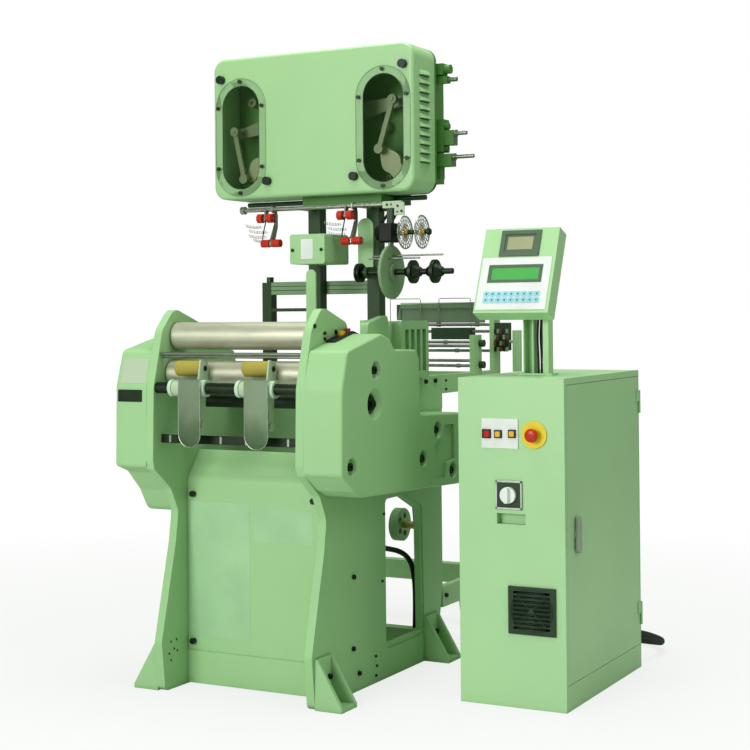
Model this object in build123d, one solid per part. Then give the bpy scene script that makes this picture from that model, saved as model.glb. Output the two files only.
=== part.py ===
from build123d import *
import math
import os

os.makedirs("parts", exist_ok=True)

# Needle loom, millimetres.
# Origin on the floor in the middle of the four anchor holes, +X toward the cabinet,
# +Y to the back of the loom, +Z up. Outlines named "profile" hold (Y, Z, corner radius).

# Driving sizes: side frames and feet
frame_in = 273.0
frame_t = 29.0
frame_out = frame_in + frame_t
rim_depth = 4.0
deck_z = 1018.0
foot_reach = 97.0
foot_width = 100.0
foot_height = 160.0
foot_flange = 14.0
anchor_x = 357.0
anchor_y = 389.0
anchor_r = 11.0

# Driving sizes: side covers
cover_t = 138.0
housing_t = 126.0
well_r = 30.0
well_depth = 16.0
well_floor_r = 22.0
bore_bevel = 18.0
pocket_depth = 10.0
cover_bolt_r = 13.0
bore_r = 33.0
cross_shaft_r = 22.0
running = 0.05

# Driving sizes: cloth rollers and press rollers
upper_r = 46.0
lower_r = 42.5
journal_r = 15.0
roller_end = 5.0
press_shaft_r = 18.5
press_roller_r = 25.5
arm_width = 107.0
arm_plate = 6.0
press_axle_r = 8.0
side_play = 0.5

# Driving sizes: head box
head_half = 409.0
head_front = 78.0
head_back = 245.0
head_bottom = 1666.0
head_top = 2179.0
head_corner = 48.0
head_wall = 6.0
casting_t = 16.0
window_x = 291.5
window_z = 1889.0
window_w = 158.0
window_h = 376.0
pane_w = 212.0
pane_h = 427.0
pane_t = 5.0
crank_shaft_r = 14.0
pivot_r = 10.0
rod_pin_r = 7.0

# Driving sizes: posts and yarn gear
post_front = 150.0
post_depth = 45.0
post_w = 48.0
post_left = -53.0
post_right = 185.0
rail_r = 8.0
spool_shaft_r = 10.0
feed_shaft_r = 8.0
wheel_r = 58.0
pulley_shaft_r = 14.0

# Driving sizes: cabinet and control panel
cab_x0 = 663.0
cab_x1 = 1026.0
cab_y0 = -126.0
cab_y1 = 593.0
cab_h = 1040.0
cab_wall = 4.0
door_t = 20.0
door_gap = 1.5
panel_w = 264.0
panel_h = 304.0
panel_t = 61.0
panel_tilt = 22.8


# Helpers
def block(x0, x1, y0, y1, z0, z1):
    return Pos((x0 + x1) / 2, (y0 + y1) / 2, (z0 + z1) / 2) * Box(x1 - x0, y1 - y0, z1 - z0)


def rod_x(y, z, r, x0, x1):
    return Pos((x0 + x1) / 2, y, z) * Rot(0, 90, 0) * Cylinder(r, abs(x1 - x0))


def rod_y(x, z, r, y0, y1):
    return Pos(x, (y0 + y1) / 2, z) * Rot(90, 0, 0) * Cylinder(r, y1 - y0)


def rod_z(x, y, r, z0, z1):
    return Pos(x, y, (z0 + z1) / 2) * Cylinder(r, z1 - z0)


def plate_x(profile, x0, x1):
    """Side-view outline of (Y, Z, radius) corners, extruded from x0 to x1."""
    points = [(y, z) for y, z, r in profile]
    radii = [r for y, z, r in profile]
    outline = FilletPolyline(*points, radius=radii, close=True)
    return extrude(Plane.YZ.offset(x0) * make_face(outline), x1 - x0)


def hull_x(circles, x0, x1):
    """Belt-shaped plate round circles given as (Y, Z, radius)."""
    shape = Sketch() + [Pos(y, z) * Circle(r) for y, z, r in circles]
    return extrude(Plane.YZ.offset(x0) * make_hull(shape.edges()), x1 - x0)


def hull_y(circles, y0, y1):
    """Belt-shaped plate round circles given as (X, Z, radius)."""
    shape = Sketch() + [Pos(x, z) * Circle(r) for x, z, r in circles]
    face = Plane.XZ.offset(-y1) * make_hull(shape.edges())
    return extrude(face, y1 - y0)


def mirror_x(shape):
    return mirror(shape, Plane.YZ)


def solids(shapes):
    """Loose solids that share one node."""
    found = []
    for shape in shapes:
        found += list(shape.solids())
    return Compound(children=found)


def save(shape, name):
    export_step(shape, "parts/" + name + ".step")


# Shaft centres (Y, Z)
upper_at = (-353.0, 1178.0)
lower_at = (-385.0, 1054.5)
press_at = (-468.0, 1009.5)
roller_at = (-450.5, 1074.0)
cross_at = (-276.0, 958.0)
pulley_at = (440.0, 469.0)
spool_at = (50.0, 1388.0)
feed_at = (60.0, 1523.0)

# Side frames
frame_profile = [
    (-437, 0, 20), (-455, 166, 60), (-370, 491, 120), (-355, 590, 50), (-396, 668, 40),
    (-488, 741, 14), (-496, 771, 20), (-489, 1013, 90), (-438, 1198, 60), (-368, 1272, 45),
    (-215, 1220, 20), (-110, deck_z, 30), (507, deck_z, 8), (507, 900, 8), (495, 860, 8),
    (495, 250, 30), (443, 0, 15),
]
window_profile = [(56, 111, 18), (330, 111, 18), (318, 548, 14), (177, 610, 14), (56, 610, 18)]
rim_profile = [(44, 99, 26), (342, 99, 26), (330, 560, 20), (181, 622, 20), (44, 622, 26)]
frame_plate = plate_x(frame_profile, frame_in, frame_out)
frame_plate -= plate_x(window_profile, frame_in, frame_out)
rim = plate_x(rim_profile, frame_out - rim_depth, frame_out)
frame_plate -= rim
for at, r in ((upper_at, journal_r), (lower_at, journal_r), (cross_at, cross_shaft_r)):
    frame_plate -= rod_x(at[0], at[1], r + running, frame_in, frame_out)
side_right = frame_plate - rod_x(*pulley_at, pulley_shaft_r + running, frame_in, frame_in + 20)
side_left = mirror_x(frame_plate)
save(side_right, "side_frame_right")
save(side_left, "side_frame_left")

# Corner feet, one wedge bracket per corner
foot_tip = frame_out + foot_reach
wedge = make_face(Polyline(
    (frame_out, 0), (foot_tip, 0), (foot_tip, foot_flange),
    (frame_out + 10, foot_height), (frame_out, foot_height), close=True))
foot = extrude(Plane.XZ.offset(-foot_width / 2) * wedge, foot_width)
foot -= block(frame_out + 12, foot_tip, -foot_width / 2 + 13, foot_width / 2 - 13,
              foot_flange, foot_height)
foot -= rod_z(anchor_x, 0, anchor_r, 0, foot_flange)
feet_right = [Pos(0, -anchor_y, 0) * foot, Pos(0, anchor_y, 0) * foot]
feet = feet_right + [mirror_x(f) for f in feet_right]
save(solids(feet), "corner_feet")

# Cross ties between the side frames
deck = block(-frame_in, frame_in, -60, 260, deck_z - 28, deck_z)
ties = [
    deck,
    block(-frame_in, frame_in, -285, -235, 20, 90),
    block(-frame_in, frame_in, 380, 430, 40, 100),
    block(-frame_in, frame_in, 440, 490, 900, 980),
]
save(solids(ties), "cross_ties")

# Front panel and kick panel
front_y = -300.0
sheet = 6.0
front_panel = plate_x([
    (front_y, 113, 0), (front_y, 695, 40), (-228, 787, 0),
    (-223, 783, 0), (front_y + sheet, 693, 34), (front_y + sheet, 113, 0),
], -frame_in, frame_in)
kick_panel = block(-frame_in, frame_in, front_y - 4, front_y + sheet, 3, 113)
save(solids([front_panel, kick_panel]), "front_panels")

# Round knobs that hold the front panel and the head cover
knobs = []
for x, z in ((-248, 642), (-251, 144), (226, 640), (226, 144)):
    knobs.append(rod_y(x, z, 10, front_y - 14, front_y))
for x, z in ((-372, 2102.5), (372, 2102.5), (-177, 1726), (177, 1726)):
    knobs.append(rod_y(x, z, 15, head_front - 18, head_front))
save(solids(knobs), "panel_knobs")

# Side covers
crown = [
    (-496, 748, 14), (-490, 1013, 80), (-453, 1132, 20), (-226, 1183, 25), (-166, 1164, 18),
    (-136, 1130, 14),
]
cover_profile = crown + [
    (24, 1125, 22), (47, 1095, 18), (51, 905, 12), (328, 894, 14), (500, 884, 20),
    (500, 636, 20), (333, 641, 0), (-363, 667, 40), (-415, 690, 30),
]
housing_profile = crown + [
    (40, 1120, 22), (60, 1020, 20), (300, 1000, 20), (320, 560, 30), (-320, 583, 40),
    (-365, 657, 30), (-434, 725, 25),
]
cover_x1 = frame_out + cover_t
drive_cover = plate_x(cover_profile, frame_out, cover_x1)
outer_edges = drive_cover.faces().sort_by(Axis.X)[-1].edges()
drive_cover = fillet(outer_edges, 8)
pocket_profile = [
    (234, 857, 4), (315, 855, 4), (317, 733, 4), (261, 724, 4), (244, 672, 4),
    (164, 677, 4), (162, 796, 4), (192, 807, 4), (223, 815, 4),
]
drive_cover -= plate_x(pocket_profile, cover_x1 - pocket_depth, cover_x1)
wells = [(-267, 1066), (-431, 770), (71, 753), (183, 844), (303, 693)]
for y, z in wells:
    well = Pos(cover_x1 - well_depth / 2, y, z) * Rot(0, 90, 0)
    drive_cover -= well * Cone(well_floor_r, well_r, well_depth)
drive_cover -= rod_x(cross_at[0], cross_at[1], bore_r, frame_out, cover_x1)
mouth = Pos(cover_x1 - bore_bevel / 2, cross_at[0], cross_at[1]) * Rot(0, 90, 0)
drive_cover -= mouth * Cone(bore_r, bore_r + bore_bevel, bore_bevel)

# Button strip lying on the drive cover, with bores for two buttons
strip = plate_x([(-348, 1130, 0), (-348, 1164, 6), (-228, 1192, 20), (-150, 1172, 8), (-140, 1130, 0)],
                frame_out, frame_out + 34)
strip -= plate_x(cover_profile, frame_out, cover_x1)
button_x = frame_out + 17
button_r = 10.0
button_gap = 0.3
button_low = 4.0
button_high = 12.0
button_travel = 3.0
buttons = {"loom_button_yellow": (-277, 1180.6), "loom_button_red": (-236, 1188.5)}
for name, (y, z) in buttons.items():
    bore = rod_z(button_x, y, button_r + button_gap, z - button_low - button_travel - 1, z + 20)
    strip -= bore
    drive_cover -= bore
    save(rod_z(button_x, y, button_r, z - button_low, z + button_high), name)
save(strip, "button_strip")
save(drive_cover, "drive_cover")

housing_x = -frame_out - housing_t
gear_housing = plate_x(housing_profile, housing_x, -frame_out)
gear_housing = fillet(gear_housing.faces().sort_by(Axis.X)[0].edges(), 8)
save(gear_housing, "gear_housing")

# Take-off rollers and the cross shaft, journals in the side frames
def takeoff(at, r):
    journal = rod_x(at[0], at[1], journal_r, 1 - frame_out, frame_out - 1)
    return journal + rod_x(at[0], at[1], r, roller_end - frame_in, frame_in - roller_end)


save(takeoff(upper_at, upper_r), "takeoff_roller_upper")
save(takeoff(lower_at, lower_r), "takeoff_roller_lower")
cross_shaft = rod_x(cross_at[0], cross_at[1], cross_shaft_r, 1 - frame_out, cover_x1 - 12)
cross_shaft += rod_x(cross_at[0], cross_at[1], 12, cover_x1 - 12, cover_x1 - 2)
slot_y = (cross_at[0] - 3, cross_at[0] + 3)
cross_shaft -= block(cover_x1 - 8, cover_x1, *slot_y, cross_at[1] - 20, cross_at[1] + 20)
save(cross_shaft, "cross_shaft")

# Guide rods and the graduated bar in front of the cloth
bars = [
    rod_x(-448, 1121, 5, -frame_in, frame_in),
    rod_x(-436, 1111, 5, -frame_in, frame_in),
    block(-frame_in, frame_in, -448, -442, 826, 854),
]
save(solids(bars), "guide_rods")

# Press shaft with its clamping collars
press_shaft = rod_x(press_at[0], press_at[1], press_shaft_r, -frame_in, frame_in)
save(press_shaft, "press_shaft")
arm_starts = (-201.5, 60.5)
collar_r = 28.0
collar_spans = []
for x0 in arm_starts:
    collar_spans.append((x0 - side_play - 13, x0 - side_play))
    collar_spans.append((x0 + arm_width + side_play, x0 + arm_width + side_play + 20))
collars = []
for x0, x1 in collar_spans:
    ring = rod_x(press_at[0], press_at[1], collar_r, x0, x1)
    collars.append(ring - rod_x(press_at[0], press_at[1], press_shaft_r, x0, x1))
save(solids(collars), "shaft_collars")

# Press arms, each carrying a yellow roller against the lower take-off roller
stay_at = (roller_at[0] - 20, roller_at[1] + 24)
lever_at = (press_at[0] + 6, press_at[1] - 119)


def press_arm(x0):
    x1 = x0 + arm_width
    side = [(press_at[0], press_at[1], 24), (roller_at[0], roller_at[1], 20), (stay_at[0], stay_at[1], 8)]
    arm = hull_x(side, x0, x0 + arm_plate) + hull_x(side, x1 - arm_plate, x1)
    arm += hull_x([(press_at[0], press_at[1], 24), (lever_at[0], lever_at[1], 10)], x1 - arm_plate, x1)
    arm += rod_x(lever_at[0], lever_at[1], 14, x1 - 9, x1 + 3)
    arm += rod_x(stay_at[0], stay_at[1], 4, x0, x1)
    arm += rod_x(roller_at[0], roller_at[1], press_axle_r, x0 - 3, x1 + 3)
    return arm - rod_x(press_at[0], press_at[1], press_shaft_r + running, x0, x1)


def press_roller(x0):
    span = (x0 + arm_plate + 2, x0 + arm_width - arm_plate - 2)
    roller = rod_x(roller_at[0], roller_at[1], press_roller_r, *span)
    return roller - rod_x(roller_at[0], roller_at[1], press_axle_r + running, *span)


for side, x0 in zip(("left", "right"), arm_starts):
    save(press_arm(x0), "press_arm_" + side)
    save(press_roller(x0), "press_roller_" + side)

# Chute plates that carry the finished tape away
chute_y = -505.0
chute_z = 819.0
chutes = []
for x0, x1, ring_x in ((-165, -79.5, -150), (89, 178, 110)):
    half = (x1 - x0) / 2
    tongue = block(x0, x1, chute_y, chute_y + 3, chute_z + half, chute_z + 221)
    tongue += rod_y(x0 + half, chute_z + half, half, chute_y, chute_y + 3)
    clamp = rod_x(press_at[0], press_at[1], 36, ring_x, ring_x + 20)
    clamp -= block(ring_x, ring_x + 20, chute_y - 20, chute_y, 900, 1100)
    clamp -= rod_x(press_at[0], press_at[1], press_shaft_r, ring_x, ring_x + 20)
    chutes.append(tongue + clamp)
save(solids(chutes), "chute_plates")

# Head posts with the dark ladder behind them and the outer bearing of the spool shaft
post_back = post_front + post_depth
posts = block(post_left, post_left + post_w, post_front, post_back, deck_z, head_bottom - 30)
posts += block(post_right, post_right + post_w, post_front, post_back, deck_z, head_bottom - 30)
post_side = post_right + post_w
posts += block(-279, -240, post_back, post_back + 38, deck_z, 1364)
posts += block(-241, post_side, post_back, post_back + 24, 1318, 1334)
posts += block(-241, post_side, post_back, post_back + 24, 1349, 1365)
posts += block(-241, post_side, post_back, post_back + 8, 1330, 1352)
posts += block(-241, post_left + 1, post_back, post_back + 10, 1257, 1269)
posts += rod_z(-256, post_back + 19, 13, 1364, 1384)
bearing = hull_x([(spool_at[0], spool_at[1], 20), (post_front + 22, spool_at[1], 20)],
                 post_side, post_side + 14)
posts += bearing - rod_x(spool_at[0], spool_at[1], spool_shaft_r + running, post_side, post_side + 14)
save(posts, "head_posts")

# Linkage points in the head box, (X, Z)
links = {
    "left": {"pivot": (-200, 1945), "pin": (-345, 1916), "crank": (-262, 1782), "crank_pin": (-306, 1742),
             "bosses": [(-279, 1863, 17), (-323, 2032, 17)]},
    "right": {"pivot": (150, 1965), "pin": (307, 1991), "crank": (284, 1776), "crank_pin": (252, 1821),
              "bosses": [(230, 1907, 20), (246, 1726, 11)]},
}
crank_y = 150.0
crank_t = 20.0
rocker_y = 176.0
rocker_t = 20.0
rod_y0 = 114.0
rod_t = 20.0

# Head casting, from the dark rim back to the gearbox, standing on the posts
outline = RectangleRounded(2 * head_half, head_top - head_bottom, head_corner)
head_mid = (head_bottom + head_top) / 2


def box_y(face, y0, y1):
    """Face drawn round the head centre in front view, extruded from y0 to y1."""
    return extrude(Pos(0, y1, head_mid) * Rot(90, 0, 0) * face, y1 - y0)


adjuster_x = 394.0
casting = box_y(outline, head_back, head_back + casting_t)
casting += block(-370, adjuster_x, head_back + casting_t, 350, head_bottom + 40, head_top - 50)
casting += block(-80, 260, head_back, 350, head_bottom - 30, head_bottom + 41)
casting += block(-70, 250, 140, head_back + casting_t, head_bottom - 30, head_bottom)
casting += rod_x(head_back + 6, head_bottom - 11, 9, -370, 370)
for link in links.values():
    casting += rod_y(*link["pivot"], pivot_r, rocker_y - 4, head_back)
    casting += rod_y(*link["pivot"], 20, rocker_y + rocker_t + 0.5, head_back)
    for x, z, r in link["bosses"]:
        casting += rod_y(x, z, r, rocker_y + rocker_t + 8, head_back)
        socket = Plane.XZ.offset(-rocker_y - rocker_t - 8) * Pos(x, z) * RegularPolygon(0.45 * r, 6)
        casting -= extrude(socket, -8)
    casting -= rod_y(*link["crank"], crank_shaft_r + running, head_back, head_back + 40)
save(casting, "head_casting")

# Head cover with two tall windows and louvres in the right flank
cover = box_y(outline, head_front, head_back)
front_edges = cover.faces().sort_by(Axis.Y)[0].edges()
cover = fillet(front_edges, 12)
inside = RectangleRounded(2 * (head_half - head_wall), head_top - head_bottom - 2 * head_wall,
                          head_corner - head_wall)
cover -= box_y(inside, head_front + head_wall, head_back)
opening = SlotOverall(window_h, window_w, rotation=90)
for x in (-window_x, window_x):
    cut = Pos(x, 0, window_z - head_mid) * box_y(opening, head_front, head_front + head_wall)
    cover -= cut
for i in range(11):
    z = 2075 - 30 * i
    cover -= block(head_half - head_wall, head_half, 130, 197, z - 5, z + 5)
save(cover, "head_cover")

# Clear panes over the windows
pane = SlotOverall(pane_h, pane_w, rotation=90)
panes = []
for x in (-window_x, window_x):
    panes.append(Pos(x, 0, window_z - head_mid) * box_y(pane, head_front - pane_t, head_front))
save(solids(panes), "window_panes")

# Cranks, rockers and connecting rods behind the windows
for side, link in links.items():
    cx, cz = link["crank"]
    px, pz = link["crank_pin"]
    crank = hull_y([(cx, cz, 38), (px, pz, 14)], crank_y, crank_y + crank_t)
    crank += hull_y([(cx, cz, 30), (2 * cx - px, 2 * cz - pz, 24)], crank_y, crank_y + crank_t - 6)
    crank += rod_y(px, pz, rod_pin_r, rod_y0 + rod_t + 0.5, crank_y)
    crank += rod_y(cx, cz, crank_shaft_r, crank_y, head_back + 36)
    save(crank, "crank_" + side)
    vx, vz = link["pivot"]
    nx, nz = link["pin"]
    rocker = hull_y([(vx, vz, 32), (nx, nz, 17)], rocker_y, rocker_y + rocker_t)
    rocker += rod_y(nx, nz, 19, rocker_y - 3, rocker_y + rocker_t)
    rocker += rod_y(nx, nz, rod_pin_r, rod_y0 - 4, rocker_y)
    rocker -= rod_y(vx, vz, pivot_r + running, rocker_y, rocker_y + rocker_t)
    save(rocker, "rocker_" + side)
    rod = hull_y([(nx, nz, 9), (px, pz, 9)], rod_y0 + 4, rod_y0 + rod_t - 4)
    rod += rod_y(nx, nz, 17, rod_y0, rod_y0 + rod_t)
    rod += rod_y(px, pz, 17, rod_y0, rod_y0 + rod_t)
    rod -= rod_y(nx, nz, rod_pin_r + running, rod_y0, rod_y0 + rod_t)
    save(rod, "connecting_rod_" + side)

# Adjusters bolted to the right side of the gearbox
adjusters = [
    block(adjuster_x, 432, 266, 306, 2085, 2125) + rod_x(286, 2105, 16, 432, 455)
    + block(adjuster_x, 446, 270, 300, 2056, 2080) + rod_x(286, 2068, 8, 446, 478),
    block(adjuster_x, 430, 266, 320, 1814, 1929) + block(430, 468, 272, 308, 1837, 1889)
    + rod_x(290, 1878, 7, 468, 512) + rod_x(290, 1878, 13, 468, 474)
    + rod_x(290, 1905, 12, 430, 444) + rod_x(290, 1826, 12, 430, 440),
    block(adjuster_x, 462, 266, 306, 1762, 1806) + rod_x(286, 1795, 7, 462, 540)
    + rod_x(286, 1795, 13, 462, 470) + block(adjuster_x, 420, 270, 300, 1720, 1762),
]
save(solids(adjusters), "rear_adjusters")

# Yarn rail with hanging arms
rail_y = 60.0
rail_z = 1622.0
rail_x1 = 300.0
rail = rod_x(rail_y, rail_z, rail_r, -278, rail_x1)
for x in (-35, 203):
    rail += block(x, x + 12, rail_y, post_front, rail_z - 8, rail_z + 6)
rail += rod_x(rail_y, rail_z, 14, -278, -262)
short_arm = [(50, 1630, 4), (70, 1630, 4), (60, 1580, 6), (40, 1580, 6)]
long_arm = [
    (50, 1634, 6), (80, 1634, 8), (90, 1600, 10), (90, 1560, 10), (62, 1488, 6),
    (40, 1488, 6), (40, 1508, 6), (72, 1568, 8), (72, 1606, 8), (50, 1614, 2),
]
bobbins = []
bobbin_sets = [
    (short_arm, -174, 50, 1590, 16.5, ((-201, -181), (-161, -141))),
    (long_arm, -150, 50, 1500, 14, ((-185, -153), (-141, -109))),
    (short_arm, 153, 50, 1590, 16.5, ((127, 147), (165, 185))),
    (long_arm, 177, 50, 1500, 14, ((142, 174), (186, 218))),
]
for arm, x, y, z, r, spans in bobbin_sets:
    rail += plate_x(arm, x, x + 6)
    rail += rod_x(y, z, 4, spans[0][0] - 2, spans[1][1] + 2)
    for x0, x1 in spans:
        bobbin = rod_x(y, z, r, x0, x1) - rod_x(y, z, 4, x0, x1)
        bobbins.append(bobbin)
save(rail, "yarn_rail")
save(solids(bobbins), "guide_bobbins")

# Junction box between the posts, and the light-green guards
junction = fillet(block(-28, 111, -20, post_front, 1421, 1525).edges().filter_by(Axis.Y), 8)
save(junction, "junction_box")
upright = block(36, 74, -20, -12, deck_z, 1383) + rod_y(55, 1383, 19, -20, -12)
shield = block(155, 215, post_front - 10, post_front, 1400, 1553)
shield += rod_y(185, 1553, 30, post_front - 10, post_front)
save(solids([upright, shield]), "guard_plates")

# Feed motor, bracket with the disc guard, feed wheels and spool shaft
motor_x0 = 300.0
motor_x1 = 345.0
feed_motor = block(motor_x0, motor_x1, 27, 93, 1490, 1556)
feed_motor = fillet(feed_motor.edges().filter_by(Axis.X), 8)
feed_motor -= rod_x(feed_at[0], feed_at[1], feed_shaft_r + running, motor_x0 + 10, motor_x1)
save(feed_motor, "feed_motor")
bracket = block(rail_x1, 350, 52, 68, 1556, 1640)
bracket += block(350, 386, 52, 60, 1600, 1640)
guard_x = 328.0
disc_r = 92.0
disc = rod_x(spool_at[0], spool_at[1], disc_r, guard_x, guard_x + 12)
disc += rod_x(spool_at[0], spool_at[1], 30, guard_x - 8, guard_x + 20)
disc += block(guard_x, guard_x + 12, 30, 70, spool_at[1] + disc_r - 12, 1490)
disc += rod_x(48, spool_at[1] + 56, 3, 262, 531)
disc += rod_x(20, spool_at[1] + 46, 3, 262, 458)
disc -= rod_x(spool_at[0], spool_at[1], spool_shaft_r + running, guard_x - 8, guard_x + 20)
save(solids([bracket, disc]), "feed_bracket")

wheel_half = 9.0
web_half = 3.0
hub_r = 17.0
wheel_holes = 12
hole_rings = ((44, 7), (30, 4))
feed_x1 = 480.0
wheels = rod_x(*feed_at, feed_shaft_r, motor_x0 + 12, feed_x1)
wheels += rod_x(*feed_at, 12, feed_x1 - 10, feed_x1)
for x in (383, 447):
    wheel = rod_x(*feed_at, wheel_r, x - wheel_half, x + wheel_half)
    wheel -= rod_x(*feed_at, wheel_r - 4, x + web_half, x + wheel_half)
    wheel -= rod_x(*feed_at, wheel_r - 4, x - wheel_half, x - web_half)
    for ring, r in hole_rings:
        for i in range(wheel_holes):
            a = math.radians(360 * i / wheel_holes)
            hole = (feed_at[0] + ring * math.cos(a), feed_at[1] + ring * math.sin(a))
            wheel -= rod_x(*hole, r, x - wheel_half, x + wheel_half)
    wheels += wheel + rod_x(*feed_at, hub_r, x - wheel_half - 5, x + wheel_half + 5)
save(wheels, "feed_wheels")

spool = rod_x(*spool_at, spool_shaft_r, 195, 566)
for x0, x1, r in ((203, 209, 33), (209, 213, 28), (213, 219, 33)):
    spool += rod_x(*spool_at, r, x0, x1)
for x in (418, 500):
    spool += rod_x(*spool_at, 40, x - 6, x + 6)
    spool += Pos(x + 18, spool_at[0], spool_at[1]) * Rot(0, 90, 0) * Cone(28, 14, 24)
    spool += Pos(x - 18, spool_at[0], spool_at[1]) * Rot(0, 90, 0) * Cone(14, 28, 24)
save(spool, "spool_shaft")

# Bearing bracket on top of the right side frame
bearing_bracket = plate_x([(-85, deck_z, 0), (-62, 1215, 14), (79, 1242, 14), (110, deck_z, 0)],
                          frame_in, frame_out)
pedestal = block(frame_in - 10, frame_out + 26, 130, 345, deck_z, 1220)
pedestal = fillet(pedestal.edges().filter_by(Axis.X), 12)
for i in range(4):
    y = 160 + 45 * i
    pedestal -= block(frame_out + 14, frame_out + 26, y, y + 28, deck_z + 25, 1190)
save(solids([bearing_bracket, pedestal]), "bearing_bracket")

# Rear frame carrying the warp guides
rear_y = 1045.0
rail_low = (165, 240)
rear = []
for s in (-1, 1):
    x0, x1 = sorted((s * frame_in, s * frame_out))
    rear.append(block(x0, x1, 507, rear_y, 950, deck_z))
    rear.append(block(x0, x1, 495, rear_y, *rail_low))
    rear.append(block(x0, x1, 975, rear_y, 0, 950))
rear.append(block(-frame_in, frame_in, 985, rear_y - 10, 960, deck_z - 8))
rear.append(block(-frame_in, frame_in, 985, rear_y - 10, *rail_low))
rear_frame = rear[0]
for piece in rear[1:]:
    rear_frame += piece
save(rear_frame, "rear_frame")

# Warp guide brackets, rods and the panel resting on the top rod
near_y = 840.0
far_y = 1010.0
bracket_in = frame_out - 20
switch_x1 = frame_out + 55
brackets = []
for s in (-1, 1):
    x0, x1 = sorted((s * bracket_in, s * frame_out))
    brackets.append(block(x0, x1, near_y - 45, near_y + 25, deck_z, 1160))
    brackets.append(block(x0, x1, far_y - 25, far_y + 35, deck_z, 1218))
for z in (1127, 1044):
    brackets.append(rod_x(near_y + 6, z, 14, frame_out, frame_out + 20))
outboard = block(372, 407, far_y - 6, far_y + 6, deck_z - 6, 1175)
outboard += rod_x(far_y, 1130, 6, switch_x1, 372)
brackets.append(outboard)
save(solids(brackets), "warp_brackets")
rod_r = 6.0
clamp_r = 12.0
warp_rods = []
rod_rows = [
    (far_y, 1198, (-200, 40, 210)), (far_y, 1171, ()), (far_y, 1094, (-180, 120)),
    (near_y, 1132, (-60, 150)), (near_y, 1117, ()), (near_y, 1060, (60,)), (near_y, 1040, (-150, 205)),
]
for y, z, clamps in rod_rows:
    warp_rod = rod_x(y, z, rod_r, -bracket_in, bracket_in)
    for x in clamps:
        warp_rod += rod_x(y, z, clamp_r - 4, x, x + 16)
    warp_rods.append(warp_rod)
save(solids(warp_rods), "warp_rods")
panel_z = 1198 + clamp_r - 4
warp_panel = block(-119, 250, far_y - 6, far_y + 6, panel_z, 1288)
warp_panel += block(-119, 250, far_y - 12, far_y + 6, 1264, 1288)
warp_panel += block(-136, -119, far_y - 14, far_y + 10, 1217, 1281)
stop_box = block(23, 196, far_y - 20, far_y + 30, 1139, 1186)
stop_box -= rod_x(far_y, 1171, rod_r, 23, 196)
switches = block(frame_out, switch_x1, far_y - 20, far_y + 20, 1095, 1205)
save(solids([warp_panel, stop_box, switches]), "warp_panel")

# Pulley inside the base, seen through the side window
pulley = rod_x(*pulley_at, 60, 140, 172) - rod_x(*pulley_at, 52, 146, 166)
pulley += rod_x(*pulley_at, 52, 150, 162)
for i in range(5):
    a = math.radians(72 * i)
    hole = (pulley_at[0] + 34 * math.cos(a), pulley_at[1] + 34 * math.sin(a))
    pulley -= rod_x(hole[0], hole[1], 11, 140, 172)
pulley += rod_x(*pulley_at, pulley_shaft_r, 134, frame_in + 18)
save(pulley, "main_pulley")

# Electrical cabinet
button_centres = ((804, 862), (852, 864))
key_half = 12.5
hole_half = key_half + 0.5
stop_at = (925.0, 862.0)
stop_bore = 12.3
switch_r = 10.0
switch_at = (838.0, 670.0)
body = block(cab_x0, cab_x1, cab_y0, cab_y1, 0, cab_h)
body -= block(cab_x0 + cab_wall, cab_x1 - cab_wall, cab_y0 + cab_wall, cab_y1 - cab_wall,
              30, cab_h - cab_wall)
door_y0 = cab_y0 + 19
door_y1 = cab_y1 - 8
door_z0 = 82.0
door_z1 = cab_h - 22
body -= block(cab_x1 - cab_wall, cab_x1, door_y0 - door_gap, door_y1 + door_gap,
              door_z0 - door_gap, door_z1 + door_gap)
slot = block(795, 893, cab_y0, cab_y0 + cab_wall, 577, 611)
body -= slot
body += block(790, 898, cab_y0 + cab_wall, cab_y0 + 30, 572, 616)
body -= block(795, 893, cab_y0, cab_y0 + 26, 577, 611)
body -= block(850, 978, cab_y0, cab_y0 + cab_wall, 248, 370)
body -= rod_y(*stop_at, stop_bore, cab_y0, cab_y0 + cab_wall)
for x, z in button_centres:
    body -= block(x - hole_half, x + hole_half, cab_y0, cab_y0 + cab_wall, z - hole_half, z + hole_half)
body -= rod_y(*switch_at, switch_r + running, cab_y0, cab_y0 + cab_wall)
gland_r = 20.0
gland_at = (980.0, 100.0)
body += rod_y(*gland_at, gland_r, cab_y1, cab_y1 + 12)
knuckle_r = 4.0
hinge_x = cab_x1 + knuckle_r
hinge_y = door_y1 + 3
for z in (150, 890):
    body += rod_z(hinge_x, hinge_y, knuckle_r, z, z + 40)
    body += block(cab_x1, hinge_x, hinge_y, cab_y1, z, z + 40)
save(body, "cabinet_body")

door = block(cab_x1 - door_t, cab_x1, door_y0, door_y1, door_z0, door_z1)
door -= block(cab_x1 - door_t, cab_x1 - 3, door_y0 + 12, door_y1 - 12, door_z0 + 12, door_z1 - 12)
handle_at = (cab_y0 + 91, 545.0)
spindle_r = 8.0
door += block(cab_x1 - door_t, cab_x1 - 3, handle_at[0] - 30, handle_at[0] + 30,
              handle_at[1] - 60, handle_at[1] + 60)
door -= rod_x(*handle_at, spindle_r + running, cab_x1 - door_t, cab_x1)
for z in (150, 890):
    door += rod_z(hinge_x, hinge_y, knuckle_r, z + 40.5, z + 80)
    door += block(cab_x1, hinge_x, hinge_y - 28, hinge_y, z + 40.5, z + 80)
save(door, "cabinet_door")
handle = hull_x([(handle_at[0], handle_at[1] + 45, 11), (handle_at[0], handle_at[1] - 45, 14)],
                cab_x1 + 4, cab_x1 + 16)
handle += rod_x(*handle_at, 14, cab_x1 + 0.5, cab_x1 + 16)
handle += rod_x(*handle_at, spindle_r, cab_x1 - door_t, cab_x1 + 4)
save(handle, "door_handle")

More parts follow.
